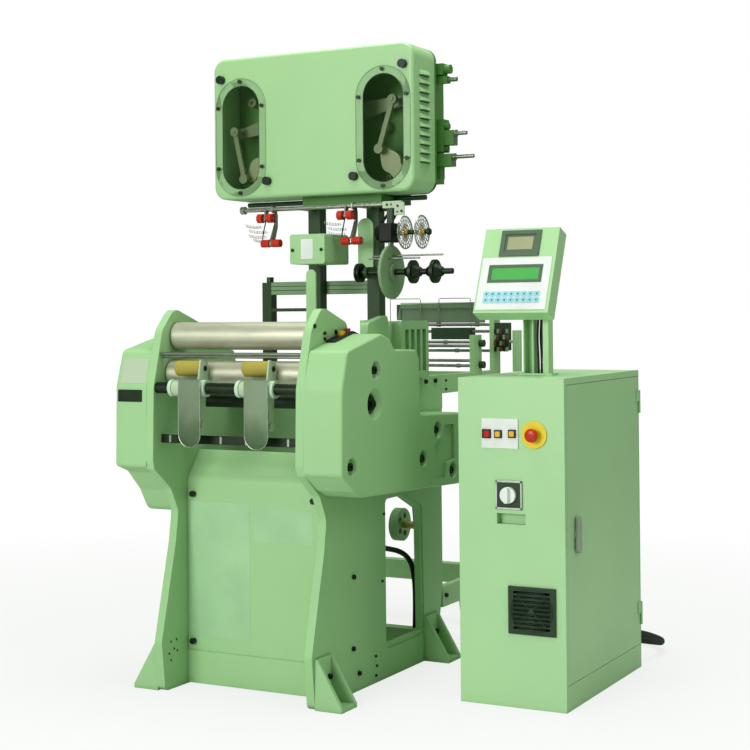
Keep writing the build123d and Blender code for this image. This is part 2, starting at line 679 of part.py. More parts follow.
# Grille, plates and operating elements on the cabinet front
grille = block(834, 993, cab_y0 - 8, cab_y0, 234, 384)
for i in range(9):
    z = 250 + 14 * i
    grille -= block(852, 975, cab_y0 - 8, cab_y0, z, z + 8)
plate = block(746, 871, cab_y0 - 4, cab_y0, 817, 911)
for x, z in button_centres:
    plate -= block(x - hole_half, x + hole_half, cab_y0 - 4, cab_y0, z - hole_half, z + hole_half)
plate += block(752, 777, cab_y0 - 9, cab_y0 - 4, 850, 875)
ring = rod_y(*stop_at, 43, cab_y0 - 5, cab_y0) - rod_y(*stop_at, stop_bore, cab_y0 - 5, cab_y0)
sx, sz = switch_at
switch_plate = block(sx - 44, sx + 44, cab_y0 - 4, cab_y0, sz - 45, sz + 45)
switch_plate -= rod_y(*switch_at, switch_r + running, cab_y0 - 4, cab_y0)
save(solids([plate, ring, switch_plate, grille]), "front_plates")
for side, (x, z) in zip(("left", "right"), button_centres):
    key = block(x - key_half, x + key_half, cab_y0 - 10, cab_y0 + 12, z - key_half, z + key_half)
    save(key, "push_button_" + side)
mushroom = rod_y(*stop_at, 22, cab_y0 - 34, cab_y0 - 18)
mushroom += rod_y(*stop_at, stop_bore - 0.3, cab_y0 - 18, cab_y0 + 10)
save(mushroom, "emergency_button")
switch = rod_y(*switch_at, switch_r, cab_y0 - 4.5, cab_y0 + 8)
switch += rod_y(*switch_at, 26, cab_y0 - 16, cab_y0 - 4.5)
switch += block(sx - 6, sx + 6, cab_y0 - 30, cab_y0 - 16, sz - 24, sz + 24)
save(switch, "main_switch")

# Control panel on its posts
tilt = Pos(660, 0, 1246) * Rot(-panel_tilt, 0, 0)
panel_box = tilt * block(0, panel_w, 0, panel_t, 0, panel_h)
save(panel_box, "panel_box")
membrane = block(7, 253, -2, 0, 11, 198)
membrane -= block(34, 226, -2, 0, 107, 171)
readout = block(34, 226, -3, 0, 107, 171) - block(46, 214, -3, -1, 117, 161)
meter = block(62, 203, -5, 0, 202, 295) - block(78, 187, -5, -2, 216, 281)
panel_face = [tilt * piece for piece in (membrane, readout, meter)]
save(solids(panel_face), "panel_face")
stand = block(796, 833, 100, 140, cab_h, 1470) - block(800, 829, 100, 136, cab_h, 1470)
stand += block(866, 886, 100, 140, cab_h, 1470) - block(866, 882, 104, 136, cab_h, 1470)
stand += block(780, 900, 92, 148, cab_h, cab_h + 6)
stand -= tilt * block(-50, panel_w + 50, -200, panel_t, -100, panel_h + 200)
save(stand, "panel_posts")

# Cable conduit from the cabinet's back, over the floor and up into the rear frame
conduit_r = 14.0
floor_z = conduit_r + 0.5
conduit_points = [
    (gland_at[0], cab_y1 + 12, gland_at[1]), (gland_at[0], cab_y1 + 69, gland_at[1]),
    (1000, 722, 84), (1024, 790, 58), (1016, 862, 34), (966, 925, 20), (890, 958, floor_z),
    (800, 952, 15.5), (715, 926, floor_z), (640, 886, 15.5),
    (568, 832, floor_z), (505, 770, 15.5), (440, 722, floor_z), (376, 702, 19), (322.5, 698, 52),
    (287.5, 700, 106), (287.5, 700, rail_low[0]),
]


def bend_radii(points):
    """0.45 of the shorter run at each inner point, over the tangent of half the turn there."""
    radii = []
    for a, b, c in zip(points, points[1:], points[2:]):
        u, v = Vector(*b) - Vector(*a), Vector(*c) - Vector(*b)
        turn = math.radians(u.get_angle(v))
        radii.append(0.45 * min(u.length, v.length) / math.tan(turn / 2))
    return radii


conduit_radii = bend_radii(conduit_points)
print("conduit radii", [round(r) for r in conduit_radii])
conduit_line = FilletPolyline(*conduit_points, radius=conduit_radii)
conduit_start = Plane(origin=conduit_line @ 0, z_dir=conduit_line % 0)
conduit = sweep(conduit_start * Circle(conduit_r), path=conduit_line)
print("conduit length", round(conduit_line.length, 1), "volume ratio",
      round(conduit.volume / (math.pi * conduit_r ** 2 * conduit_line.length), 4))
save(conduit, "conduit")

# Screws and bolts
def socket_screw_x(y, z, r, x0, x1):
    """Cap screw along X whose hexagon socket opens toward x1."""
    screw = rod_x(y, z, r, x0, x1)
    depth = 0.6 * abs(x1 - x0)
    inner = Plane(origin=(x1, y, z), z_dir=(1 if x1 > x0 else -1, 0, 0))
    return screw - extrude(inner * RegularPolygon(0.55 * r, 6), -depth)


bolts = []
for s in (-1, 1):
    for dx, dz in ((0, 202), (0, -202), (93, 110), (93, -110), (-93, 110), (-93, -110)):
        bolts.append(rod_y(s * window_x + dx, window_z + dz, 7, head_front - pane_t - 5,
                           head_front - pane_t))
    for y, z in ((-182, 381), (-188, 146), (-150, 58), (367, 1000), (445, 1000), (522, 206)):
        if s == 1 or z < 500:
            bolts.append(socket_screw_x(y, z, 8, s * frame_out, s * (frame_out + 8)))
    for y, z in ((-31, 91), (-25, 58), (-31, 26), (20, 336), (36, 563), (537, 997), (537, 965)):
        bolts.append(rod_x(y, z, 4.5, *sorted((s * frame_out, s * (frame_out + 5)))))
    for y0 in (-anchor_y, anchor_y):
        for dy in (-20, 20):
            bolts.append(socket_screw_x(y0 + dy, 95, 9, s * (frame_out + 12), s * (frame_out + 22)))
for y, z in wells:
    bolts.append(socket_screw_x(y, z, cover_bolt_r, cover_x1 - well_depth, cover_x1 - 3))
save(solids(bolts), "frame_bolts")
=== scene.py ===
# %% [markdown]
# A needle loom weaves narrow ribbons. Its rigid parts were drawn as solids beforehand, so this
# file starts by bringing them in as a fixed frame. All that follows gives those parts their
# finishes and adds the small things that make them look real.

# %% Load the frame
import math
import bmesh
import bpy
import numpy as np
from mathutils import Matrix, Vector


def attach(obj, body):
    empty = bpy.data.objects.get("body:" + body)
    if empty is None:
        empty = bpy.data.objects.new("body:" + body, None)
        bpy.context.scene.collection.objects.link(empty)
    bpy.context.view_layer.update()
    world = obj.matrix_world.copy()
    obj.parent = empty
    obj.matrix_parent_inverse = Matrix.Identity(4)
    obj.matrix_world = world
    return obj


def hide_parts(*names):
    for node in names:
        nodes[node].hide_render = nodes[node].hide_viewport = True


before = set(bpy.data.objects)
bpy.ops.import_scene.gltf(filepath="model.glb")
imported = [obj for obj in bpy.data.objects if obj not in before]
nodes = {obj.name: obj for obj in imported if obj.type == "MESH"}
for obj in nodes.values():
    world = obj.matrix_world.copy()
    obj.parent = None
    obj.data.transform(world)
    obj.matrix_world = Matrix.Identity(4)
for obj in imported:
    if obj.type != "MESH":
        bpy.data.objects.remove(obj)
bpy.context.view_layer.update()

# %% [markdown]
# The camera stands where the photographer stood: low, in front and to the right, with a long lens
# from five and a half metres. Yaw turns it left, pitch tips it up a little and roll levels a small
# slant. The lens shift drops the frame so that the floor shows.

# %% Camera
eye = Vector((2.800, -4.686, 1.256))
yaw, pitch, roll = math.radians(28.12), math.radians(0.42), math.radians(0.53)
focal_length = 74.97
camera_data = bpy.data.cameras.new("camera")
camera_data.lens = focal_length
camera_data.sensor_width = 36
camera_data.shift_y = -0.1006
camera = bpy.data.objects.new("camera", camera_data)
bpy.context.scene.collection.objects.link(camera)
turn_and_tip = Matrix.Rotation(yaw, 4, "Z") @ Matrix.Rotation(math.pi / 2 + pitch, 4, "X")
camera.matrix_world = Matrix.Translation(eye) @ (turn_and_tip @ Matrix.Rotation(-roll, 4, "Z"))
bpy.context.scene.camera = camera
print("camera at", tuple(round(v, 2) for v in eye))

# %% [markdown]
# A studio lights a machine with large soft boxes, so that its paint shows no hard shadows. The key
# light is far in front on the left, a weaker one fills the right side, and a third hangs above.
# The camera sees a white world, while the world that lights the machine is dim and a little green.

# %% Lights
def soft_box(name, place, aim, size, watts):
    """A square area lamp at place, turned toward aim."""
    data = bpy.data.lights.new(name, "AREA")
    data.size = size
    data.energy = watts
    lamp = bpy.data.objects.new(name, data)
    lamp.location = place
    lamp.rotation_euler = (Vector(aim) - Vector(place)).to_track_quat("-Z", "Y").to_euler()
    bpy.context.scene.collection.objects.link(lamp)


centre = (0.3, 0.1, 1.0)
soft_box("key", (-1.0, -6.2, 2.5), centre, 2.8, 240)
soft_box("fill", (4.2, -0.8, 3.6), (0.4, 0.2, 1.6), 2.6, 30)
soft_box("top", (0.4, 0.2, 5.2), centre, 3.2, 185)

world = bpy.data.worlds.new("studio")
bpy.context.scene.world = world
world.use_nodes = True
world_tree = world.node_tree
world_tree.nodes.clear()


def background(colour, strength):
    """One flat colour all round."""
    node = world_tree.nodes.new("ShaderNodeBackground")
    node.inputs["Color"].default_value = colour
    node.inputs["Strength"].default_value = strength
    return node


rays = world_tree.nodes.new("ShaderNodeLightPath")
seen = background((1.0, 1.0, 1.0, 1), 1.0)
ambient = background((0.80, 1.0, 0.72, 1), 0.34)
world_mix = world_tree.nodes.new("ShaderNodeMixShader")
world_out = world_tree.nodes.new("ShaderNodeOutputWorld")
world_tree.links.new(rays.outputs["Is Camera Ray"], world_mix.inputs["Fac"])
world_tree.links.new(ambient.outputs[0], world_mix.inputs[1])
world_tree.links.new(seen.outputs[0], world_mix.inputs[2])
world_tree.links.new(world_mix.outputs[0], world_out.inputs[0])
bpy.context.scene.view_settings.view_transform = "Standard"
print("lights set")

# %% [markdown]
# Every new piece is a surface on a grid of points. One helper numbers the four-cornered faces of
# such a grid, a second hands points and faces to Blender, and the next ones compute turned parts,
# tubes along a path, and flat plates with an outline.

# %% Surface helpers
def grid_faces(m, n, close_u=False, close_v=False):
    """Quads of an m by n grid of points. A closed direction joins its last row to its first."""
    rows, columns = np.arange(m if close_u else m - 1), np.arange(n if close_v else n - 1)
    i, j = np.meshgrid(rows, columns, indexing="ij")
    i2, j2 = (i + 1) % m, (j + 1) % n
    return np.stack([i * n + j, i2 * n + j, i2 * n + j2, i * n + j2], -1).reshape(-1, 4)


def place_mesh(name, points, faces, material, body="frame", smooth=True):
    """Puts computed points and faces in a mesh object that rides on a body of the frame."""
    mesh = bpy.data.meshes.new(name)
    points = np.asarray(points).reshape(-1, 3).tolist()
    mesh.from_pydata(points, [], [list(map(int, face)) for face in faces])
    mesh.polygons.foreach_set("use_smooth", np.full(len(mesh.polygons), smooth))
    mesh.validate()
    mesh.update()
    obj = bpy.data.objects.new(name, mesh)
    bpy.context.scene.collection.objects.link(obj)
    obj.data.materials.append(material)
    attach(obj, body)
    return obj


AXES = {"X": (1, 2, 0), "Y": (2, 0, 1), "Z": (0, 1, 2)}


def turned_grid(profile, place, axis, turns=48):
    """A profile of (radius, height) turned about an axis through place. A point of the surface is
    place + radius (cos a, sin a) across the axis + height along it. Flat caps close the ends."""
    r, h = np.array(profile, float).T
    a = np.linspace(0, 2 * np.pi, turns, endpoint=False)
    p, q, w = AXES[axis]
    grid = np.zeros((len(r), turns, 3))
    grid[:, :, p] = r[:, None] * np.cos(a)
    grid[:, :, q] = r[:, None] * np.sin(a)
    grid[:, :, w] = h[:, None]
    faces = list(map(list, grid_faces(len(r), turns, close_v=True)))
    faces += [list(range(turns)), list(range((len(r) - 1) * turns, len(r) * turns))]
    return (grid + np.array(place)).reshape(-1, 3), faces


def turned(name, profile, place, axis, material, body="frame", turns=48):
    """One turned part as an object."""
    return place_many(name, [turned_grid(profile, place, axis, turns)], material, body)


def place_many(name, parts, material, body="frame", smooth=True):
    """Joins several (points, faces) into one object."""
    points, faces, start = [], [], 0
    for some_points, some_faces in parts:
        some_points = np.asarray(some_points).reshape(-1, 3)
        points.append(some_points)
        faces += [[int(i) + start for i in face] for face in some_faces]
        start += len(some_points)
    obj = place_mesh(name, np.concatenate(points), faces, material, body, smooth)
    tidy_normals(obj)
    return obj


def tidy_normals(obj, sharp=35):
    """Welds doubled points, turns all faces outwards and keeps edges past the angle sharp."""
    work = bmesh.new()
    work.from_mesh(obj.data)
    bmesh.ops.remove_doubles(work, verts=work.verts, dist=1e-6)
    bmesh.ops.recalc_face_normals(work, faces=work.faces)
    for edge in work.edges:
        if len(edge.link_faces) == 2 and edge.calc_face_angle() > math.radians(sharp):
            edge.smooth = False
    work.to_mesh(obj.data)
    work.free()


def tube_grid(path, radius, sides=12, closed=False):
    """A round tube along a path: each ring is the point plus radius times (cos a, sin a) in the
    plane across the path, turned from a fixed helper direction."""
    path = np.array(path, float)
    step = (np.roll(path, -1, 0) - np.roll(path, 1, 0)) if closed else np.gradient(path, axis=0)
    t = step / np.linalg.norm(step, axis=1)[:, None]
    spread = np.abs(t).max(0)
    helper = np.eye(3)[int(np.argmin(spread))] + 0.05
    side = np.cross(t, helper)
    side /= np.linalg.norm(side, axis=1)[:, None]
    up = np.cross(side, t)
    a = np.linspace(0, 2 * np.pi, sides, endpoint=False)
    radius = np.broadcast_to(radius, len(path))[:, None, None]
    cos_a, sin_a = np.cos(a)[None, :, None], np.sin(a)[None, :, None]
    rings = path[:, None] + radius * (cos_a * side[:, None] + sin_a * up[:, None])
    faces = list(map(list, grid_faces(len(path), sides, closed, True)))
    if not closed:
        faces += [list(range(sides)), list(range((len(path) - 1) * sides, len(path) * sides))]
    return rings.reshape(-1, 3), faces


def tube(name, path, radius, material, sides=12):
    """One open tube as an object."""
    return place_many(name, [tube_grid(path, radius, sides)], material)


def rounded_outline(w, h, r, steps=8):
    """Corner arcs of a w by h rectangle with corner radius r, counted round from the right."""
    a = (np.arange(4)[:, None] * np.pi / 2 + np.linspace(0, np.pi / 2, steps)).ravel()
    corner = np.repeat(np.array([(1, 1), (-1, 1), (-1, -1), (1, -1)]), steps, axis=0)
    return corner * (w / 2 - r, h / 2 - r) + r * np.stack([np.cos(a), np.sin(a)], 1)


def plate_grid(outline, place, across, up, thickness):
    """An outline of (u, v) points set at place along the across and up directions and thickened
    along their cross product."""
    across, up = np.array(across, float), np.array(up, float)
    flat = np.array(place) + outline[:, :1] * across + outline[:, 1:] * up
    n = len(flat)
    faces = [list(range(n)), list(range(n, 2 * n))[::-1]]
    faces += list(map(list, grid_faces(2, n, close_v=True)))
    return np.concatenate([flat, flat + np.cross(across, up) * thickness]), faces


def plates(name, parts, material, body="frame", soft=0.0004):
    """Plates joined in one object, their sharp edges rounded by the width soft."""
    obj = place_many(name, parts, material, body, smooth=False)
    bevel = obj.modifiers.new("soft edge", "BEVEL")
    bevel.width = soft
    bevel.segments = 2
    bevel.limit_method = "ANGLE"
    return obj


RIGHT, BACK, UP = np.eye(3)


def front_plate(x, z, w, h, y, thickness, r=0.002):
    """A rounded plate across the view from the front, its middle at (x, y, z). It grows forward
    from y by its thickness."""
    return plate_grid(rounded_outline(w, h, r), (x, y, z), RIGHT, UP, thickness)


def flat_tile(x0, x1, z0, z1, y, thickness=0.0008, r=0.003):
    """The same plate given by two x and two z."""
    return front_plate((x0 + x1) / 2, (z0 + z1) / 2, x1 - x0, z1 - z0, y, thickness, r)


print("helpers ready")

# %% [markdown]
# Paint, steel and plastic differ in colour, in roughness and in the fine relief that breaks a
# reflection. Each finish below is a small node tree: a slow noise that shifts the colour a little,
# a fine one that dents the surface, and a Bevel node that rounds the edges as light sees them.

# %% Finish helpers
def linear(r, g, b):
    """A screen colour of 0 to 255 as the linear colour that a shader takes."""
    c = np.array([r, g, b]) / 255
    return tuple(np.where(c <= 0.04045, c / 12.92, ((c + 0.055) / 1.055) ** 2.4)) + (1.0,)


MIX_A, MIX_B, MIX_OUT = 6, 7, 2   # colour sockets of a Mix node


class Finish:
    """A material with a Principled shader and short ways to add to its node tree."""

    def __init__(self, name, metallic=0.0, coat=0.0, specular=0.5):
        self.material = bpy.data.materials.new(name)
        self.material.use_nodes = True
        self.tree = self.material.node_tree
        self.shader = self.tree.nodes["Principled BSDF"]
        self.shader.inputs["Metallic"].default_value = metallic
        self.shader.inputs["Coat Weight"].default_value = coat
        self.shader.inputs["Specular IOR Level"].default_value = specular
        self.place = self.tree.nodes.new("ShaderNodeTexCoord").outputs["Object"]

    def node(self, kind, **values):
        """A new node with these input values."""
        made = self.tree.nodes.new("ShaderNode" + kind)
        for key, value in values.items():
            made.inputs[key.replace("_", " ")].default_value = value
        return made

    def link(self, a, b):
        self.tree.links.new(a, b)

    def stretched(self, scale):
        """Object coordinates multiplied by a scale on each axis."""
        mapping = self.node("Mapping", Scale=scale)
        self.link(self.place, mapping.inputs["Vector"])
        return mapping.outputs["Vector"]

    def noise(self, scale, detail=3.0, stretch=(1, 1, 1)):
        """Fractal noise from 0 to 1, finer as the scale grows."""
        made = self.node("TexNoise", Scale=scale, Detail=detail)
        self.link(self.stretched(stretch), made.inputs["Vector"])
        return made.outputs["Fac"]

    def ramp(self, fac, stops):
        """A colour ramp of (position, colour) stops."""
        made = self.tree.nodes.new("ShaderNodeValToRGB")
        made.color_ramp.elements[0].position, made.color_ramp.elements[0].color = stops[0]
        made.color_ramp.elements[1].position, made.color_ramp.elements[1].color = stops[-1]
        for position, colour in stops[1:-1]:
            made.color_ramp.elements.new(position).color = colour
        self.link(fac, made.inputs["Fac"])
        return made.outputs["Color"]

    def colour(self, fac, stops):
        """The same ramp as the base colour."""
        self.link(self.ramp(fac, stops), self.shader.inputs["Base Color"])

    def rough(self, fac, low, high):
        """Roughness between two values."""
        made = self.node("MapRange", To_Min=low, To_Max=high)
        self.link(fac, made.inputs["Value"])
        self.link(made.outputs[0], self.shader.inputs["Roughness"])

    def relief(self, fac, depth, edge=0.0015):
        """A bump of the given depth in metres, on normals that a Bevel node has rounded."""
        bump = self.node("Bump", Strength=1.0, Distance=depth)
        self.link(fac, bump.inputs["Height"])
        if edge:
            soft = self.node("Bevel", Radius=edge)
            soft.samples = 4
            self.link(soft.outputs[0], bump.inputs["Normal"])
        self.link(bump.outputs[0], self.shader.inputs["Normal"])


def shade(colour, factor):
    """A colour made lighter or darker."""
    return tuple(min(1.0, c * factor) for c in colour[:3]) + (1.0,)


def paint(name, colour, low=0.28, high=0.42, painted_corner_shade=0.78, peel=0.00012):
    """Sprayed enamel: a faint cloudy tint, painted shade in the corners and the relief of orange
    peel.
    """
    f = Finish(name, coat=0.06, specular=0.32)
    cloud = f.ramp(f.noise(2.2, 4), [(0.3, shade(colour, 0.96)), (0.7, shade(colour, 1.03))])
    # Ambient occlusion darkens the colour in corners and creases: this is painted shade.
    corner = f.tree.nodes.new("ShaderNodeAmbientOcclusion")
    corner.samples = 4
    corner.inputs["Distance"].default_value = 0.03
    mask = f.ramp(corner.outputs["AO"], [(0.25, (painted_corner_shade, painted_corner_shade, painted_corner_shade, 1)), (0.8, (1, 1, 1, 1))])
    mix = f.tree.nodes.new("ShaderNodeMix")
    mix.data_type = "RGBA"
    mix.blend_type = "MULTIPLY"
    mix.inputs["Factor"].default_value = 1.0
    f.link(cloud, mix.inputs[MIX_A])
    f.link(mask, mix.inputs[MIX_B])
    f.link(mix.outputs[MIX_OUT], f.shader.inputs["Base Color"])
    f.rough(f.noise(14, 3), low, high)
    f.relief(f.noise(420, 2), peel)
    return f.material


def metal(name, colour, low, high, stretch=(1, 1, 1), scale=40, depth=0.000004, edge=0.0008):
    """Bare metal with fine lines where it was turned or rolled, drawn out along one axis."""
    f = Finish(name, metallic=1.0)
    lines = f.noise(scale, 4, stretch)
    f.colour(lines, [(0.3, shade(colour, 0.86)), (0.7, shade(colour, 1.05))])
    f.rough(lines, low, high)
    f.relief(lines, depth, edge)
    return f.material


def plastic(name, colour, low=0.3, high=0.45, scale=350, depth=0.00006):
    """Moulded plastic with a fine even grain."""
    f = Finish(name, specular=0.3)
    f.colour(f.noise(9, 3), [(0.3, shade(colour, 0.93)), (0.7, shade(colour, 1.05))])
    f.rough(f.noise(30, 2), low, high)
    f.relief(f.noise(scale, 2), depth, 0.0008)
    return f.material


print("finish helpers ready")

# %% [markdown]
# Nearly all of the loom wears one pale green enamel. The castings are a little rougher and darker
# than the sheet panels and take more painted shade in their corners, and the cabinet is a little
# lighter. The take-off rollers are knurled steel, the press rollers are dull yellow nylon, and the
# small gear is steel, black and red.

# %% Finishes
enamel = paint("green_enamel", linear(160, 202, 146))
cast_enamel = paint("cast_green_enamel", linear(155, 197, 142), 0.36, 0.52, 0.66, 0.0003)
sheet_enamel = paint("cabinet_enamel", linear(170, 211, 158), 0.3, 0.4, 0.85, 0.00008)
dark_enamel = paint("dark_green_enamel", linear(32, 62, 28), 0.34, 0.5)
deep_enamel = paint("gearbox_enamel", linear(76, 126, 56), 0.45, 0.6)
tray_enamel = paint("tray_enamel", linear(104, 128, 98), 0.3, 0.44)
grey_enamel = paint("guard_enamel", linear(122, 154, 112), 0.35, 0.5)
polished = metal("polished_steel", (0.36, 0.38, 0.33, 1), 0.22, 0.34, (1, 6, 6))
brushed = metal("brushed_steel", (0.52, 0.54, 0.48, 1), 0.3, 0.45, (6, 6, 1))
bar_steel = metal("steel_bar", (0.26, 0.29, 0.24, 1), 0.26, 0.4, (1, 7, 7))


def chute_metal(name, low=0.83, top=1.03):
    """Rolled sheet with a painted reflection that brightens from the height low to top, and clouded
    patches.
    """
    f = Finish(name, metallic=0.75)
    # Painted reflection: the colour grows lighter with height, from low to top.
    height = f.node("SeparateXYZ")
    f.link(f.place, height.inputs[0])
    level = f.node("MapRange", From_Min=low, From_Max=top)
    f.link(height.outputs["Z"], level.inputs["Value"])
    cloud = f.node("Math")
    cloud.operation = "MULTIPLY_ADD"
    cloud.inputs[1].default_value = 0.7
    f.link(f.noise(14, 4, (1, 1, 0.5)), cloud.inputs[0])
    f.link(level.outputs[0], cloud.inputs[2])
    tones = [(0.25, linear(60, 84, 56)), (0.6, linear(96, 116, 88)), (1.0, linear(128, 146, 120))]
    f.colour(cloud.outputs[0], tones)
    f.rough(f.noise(20, 3), 0.28, 0.42)
    f.relief(f.noise(6, 3), 0.00002, 0.0008)
    return f.material


chute_steel = chute_metal("chute_steel")
link_steel = paint("oiled_link", linear(104, 122, 82), 0.3, 0.42, 0.6, 0.0001)
crank_steel = paint("machined_crank", linear(134, 148, 104), 0.26, 0.4, 0.6, 0.0001)
dark_steel = metal("blackened_steel", (0.032, 0.045, 0.03, 1), 0.34, 0.5)
brass = metal("brass", (0.66, 0.50, 0.22, 1), 0.24, 0.38)
zinc = metal("zinc_plate", (0.44, 0.47, 0.41, 1), 0.26, 0.42)
collar_white = plastic("pale_collar", linear(190, 216, 190), 0.3, 0.45)
arm_enamel = paint("pale_arm_plate", linear(176, 196, 164), 0.28, 0.42)
spring_wire = metal("spring_wire", (0.62, 0.66, 0.60, 1), 0.2, 0.3)
black_plastic = plastic("black_plastic", linear(16, 26, 16))
guard_plastic = plastic("dark_green_guard", linear(34, 56, 36))
hose_plastic = plastic("hose_plastic", linear(40, 52, 42), 0.4, 0.55)
white_plastic = plastic("white_plastic", linear(228, 230, 228))
membrane_white = plastic("membrane_white", linear(224, 225, 225), 0.3, 0.4)
yellow_nylon = plastic("yellow_nylon", linear(160, 148, 60), 0.35, 0.55)
yellow_button = plastic("yellow_button", linear(236, 178, 30), 0.2, 0.3)
yellow_disc = plastic("yellow_disc", linear(232, 206, 28), 0.3, 0.4)
red_plastic = plastic("red_plastic", linear(190, 44, 26), 0.2, 0.32)
clear_red = plastic("red_lamp", linear(208, 30, 18), 0.12, 0.2)
blank_silver = paint("bare_maker_plate", linear(176, 192, 166), 0.3, 0.4, 0.9, 0.00005)
blank_pale = plastic("bare_notice_plate", linear(162, 202, 156), 0.35, 0.5)
screen_green = plastic("green_display", linear(84, 168, 88), 0.15, 0.25)
screen_grey = plastic("grey_display", linear(158, 160, 128), 0.15, 0.25)
bezel_grey = plastic("display_frame", linear(86, 104, 86), 0.3, 0.45)
key_blue = plastic("blue_keys", linear(150, 206, 220), 0.35, 0.5)
key_mark = plastic("key_marks", linear(60, 96, 96), 0.35, 0.5)
rust_plastic = plastic("rust_plastic", linear(104, 56, 42))
rubber_black = plastic("black_rubber", linear(14, 20, 14), 0.5, 0.7)


def knurled(name, colour):
    """A roller wound with emery cloth: tiny grains stand out of a bright metal skin."""
    f = Finish(name, metallic=0.65)
    grains = f.node("TexVoronoi", Scale=700.0)
    f.link(f.place, grains.inputs["Vector"])
    streaks = f.noise(5, 4, (1, 6, 6))
    f.colour(streaks, [(0.25, shade(colour, 0.82)), (0.5, colour), (0.75, shade(colour, 1.1))])
    f.rough(streaks, 0.34, 0.48)
    f.relief(grains.outputs["Distance"], 0.00008, 0.0015)
    return f.material


roller_skin = knurled("knurled_roller", (0.60, 0.59, 0.46, 1))


def clear_sheet(name):
    """Acrylic: a thin sheet that lets most light straight through, with a sharp reflection."""
    f = Finish(name)
    f.shader.inputs["Base Color"].default_value = (0.16, 0.30, 0.12, 1)
    f.shader.inputs["Alpha"].default_value = 0.018
    f.rough(f.noise(40, 2), 0.03, 0.08)
    f.relief(f.noise(3, 2), 0.0002, 0)
    return f.material


acrylic = clear_sheet("clear_acrylic")

wearers = (
    (cast_enamel, "bearing_bracket corner_feet drive_cover gear_housing main_pulley"),
    (cast_enamel, "side_frame_left side_frame_right"),
    (enamel, "cross_ties front_panels guard_plates head_cover junction_box rear_frame"),
    (enamel, "warp_brackets"),
    (sheet_enamel, "cabinet_body cabinet_door panel_box panel_posts"),
    (deep_enamel, "head_casting rear_adjusters"), (dark_enamel, "head_posts"),
    (grey_enamel, "feed_bracket"), (tray_enamel, "warp_panel"),
    (arm_enamel, "press_arm_left press_arm_right"), (collar_white, "shaft_collars"),
    (link_steel, "connecting_rod_left connecting_rod_right rocker_left rocker_right"),
    (crank_steel, "crank_left crank_right"), (chute_steel, "chute_plates"),
    (dark_steel, "cross_shaft frame_bolts press_shaft spool_shaft"),
    (bar_steel, "guide_rods warp_rods"), (polished, "yarn_rail"), (brushed, "door_handle"),
    (zinc, "feed_wheels"), (roller_skin, "takeoff_roller_lower takeoff_roller_upper"),
    (black_plastic, "button_strip panel_knobs push_button_left push_button_right"),
    (white_plastic, "front_plates main_switch"), (membrane_white, "panel_face"),
    (red_plastic, "emergency_button guide_bobbins loom_button_red"),
    (yellow_button, "loom_button_yellow"), (rubber_black, "feed_motor"),
    (yellow_nylon, "press_roller_left press_roller_right"), (hose_plastic, "conduit"),
    (acrylic, "window_panes"),
)
finish_of = {name: finish for finish, names in wearers for name in names.split()}
for name, obj in nodes.items():
    obj.data.materials.clear()
    obj.data.materials.append(finish_of[name])


def paint_region(name, material, low, high):
    """Gives the faces of a node whose middles lie in a box, in metres, another finish."""
    mesh = nodes[name].data
    mesh.materials.append(material)
    middles = np.zeros(len(mesh.polygons) * 3)
    mesh.polygons.foreach_get("center", middles)
    to_world = nodes[name].matrix_world
    middles = middles.reshape(-1, 3) @ np.array(to_world)[:3, :3].T + to_world.translation
    index = np.zeros(len(mesh.polygons), int)
    mesh.polygons.foreach_get("material_index", index)
    inside = np.all((middles >= low) & (middles <= high), axis=1)
    index[inside] = len(mesh.materials) - 1
    mesh.polygons.foreach_set("material_index", index)


FAR = 9.0   # past every part, where a box needs no limit
second_finishes = [
    # fan grille, switch plate, stop disc and lamp on the cabinet
    ("front_plates", guard_plastic, (-FAR, -FAR, 0.23), (FAR, FAR, 0.39)),
    ("front_plates", guard_plastic, (0.79, -FAR, 0.62), (0.89, FAR, 0.72)),
    ("front_plates", yellow_disc, (0.878, -FAR, 0.80), (FAR, FAR, 0.92)),
    ("front_plates", clear_red, (0.7515, -0.1355, 0.8495), (0.7775, -0.1302, 0.8755)),
    # frames of the two displays
    ("panel_face", bezel_grey, (0.69, -FAR, 1.34), (0.89, FAR, 1.41)),
    ("panel_face", bezel_grey, (0.71, -FAR, 1.425), (0.87, FAR, 1.53)),
    # the pulley's shaft, and the graduated bar below the guide rods
    ("main_pulley", brass, (0.10, 0.424, 0.453), (0.30, 0.456, 0.485)),
    ("guide_rods", dark_steel, (-FAR, -0.449, 0.82), (FAR, -0.441, 0.86)),
    # bosses behind the windows, and the underside of the head
    ("head_casting", link_steel, (-0.37, 0.195, 1.70), (0.34, 0.2449, 2.06)),
    ("head_casting", dark_enamel, (-FAR, 0.2, 1.5), (FAR, FAR, 1.702)),
    # end block of the warp panel, painted dark as shade in the gap at its left end, then its top
    # edge and the two boxes that share its node
    ("warp_panel", dark_enamel, (-FAR, -FAR, -FAR), (-0.128, FAR, FAR)),
    ("warp_panel", enamel, (-0.13, -FAR, 1.282), (0.26, FAR, 1.30)),
    ("warp_panel", dark_enamel, (0.02, 0.98, 1.13), (0.20, 1.05, 1.19)),
    ("warp_panel", dark_enamel, (0.30, 0.98, 1.08), (0.37, 1.05, 1.21)),
    # bright ends of the adjusters, and two dark bosses beside a warp bracket
    ("rear_adjusters", bar_steel, (0.46, -FAR, -FAR), (FAR, FAR, FAR)),
    ("warp_brackets", dark_enamel, (0.303, 0.83, 1.02), (0.33, 0.87, 1.15)),
]
for region in second_finishes:
    paint_region(*region)
print("finished nodes", len(nodes))

# %% [markdown]
# The head keeps its linkages dry behind two clear sheets. Each sheet has a dark gasket round its
# window and a thin rim outside. In the right flank eleven louvres let warm air out. A louvre is
# pressed out of the sheet: it rises from its upper edge as a square root, fades at both ends, and
# breaks off at its open lower lip. A thin dark plate under each lip is painted shade in the
# opening.

# %% Gaskets and louvres
WINDOW_X, WINDOW_Z = 0.2915, 1.889
HEAD_FLANK = 0.409
LOUVRE_TOP, LOUVRE_STEP, LOUVRE_COUNT = 2.079, 0.030, 11


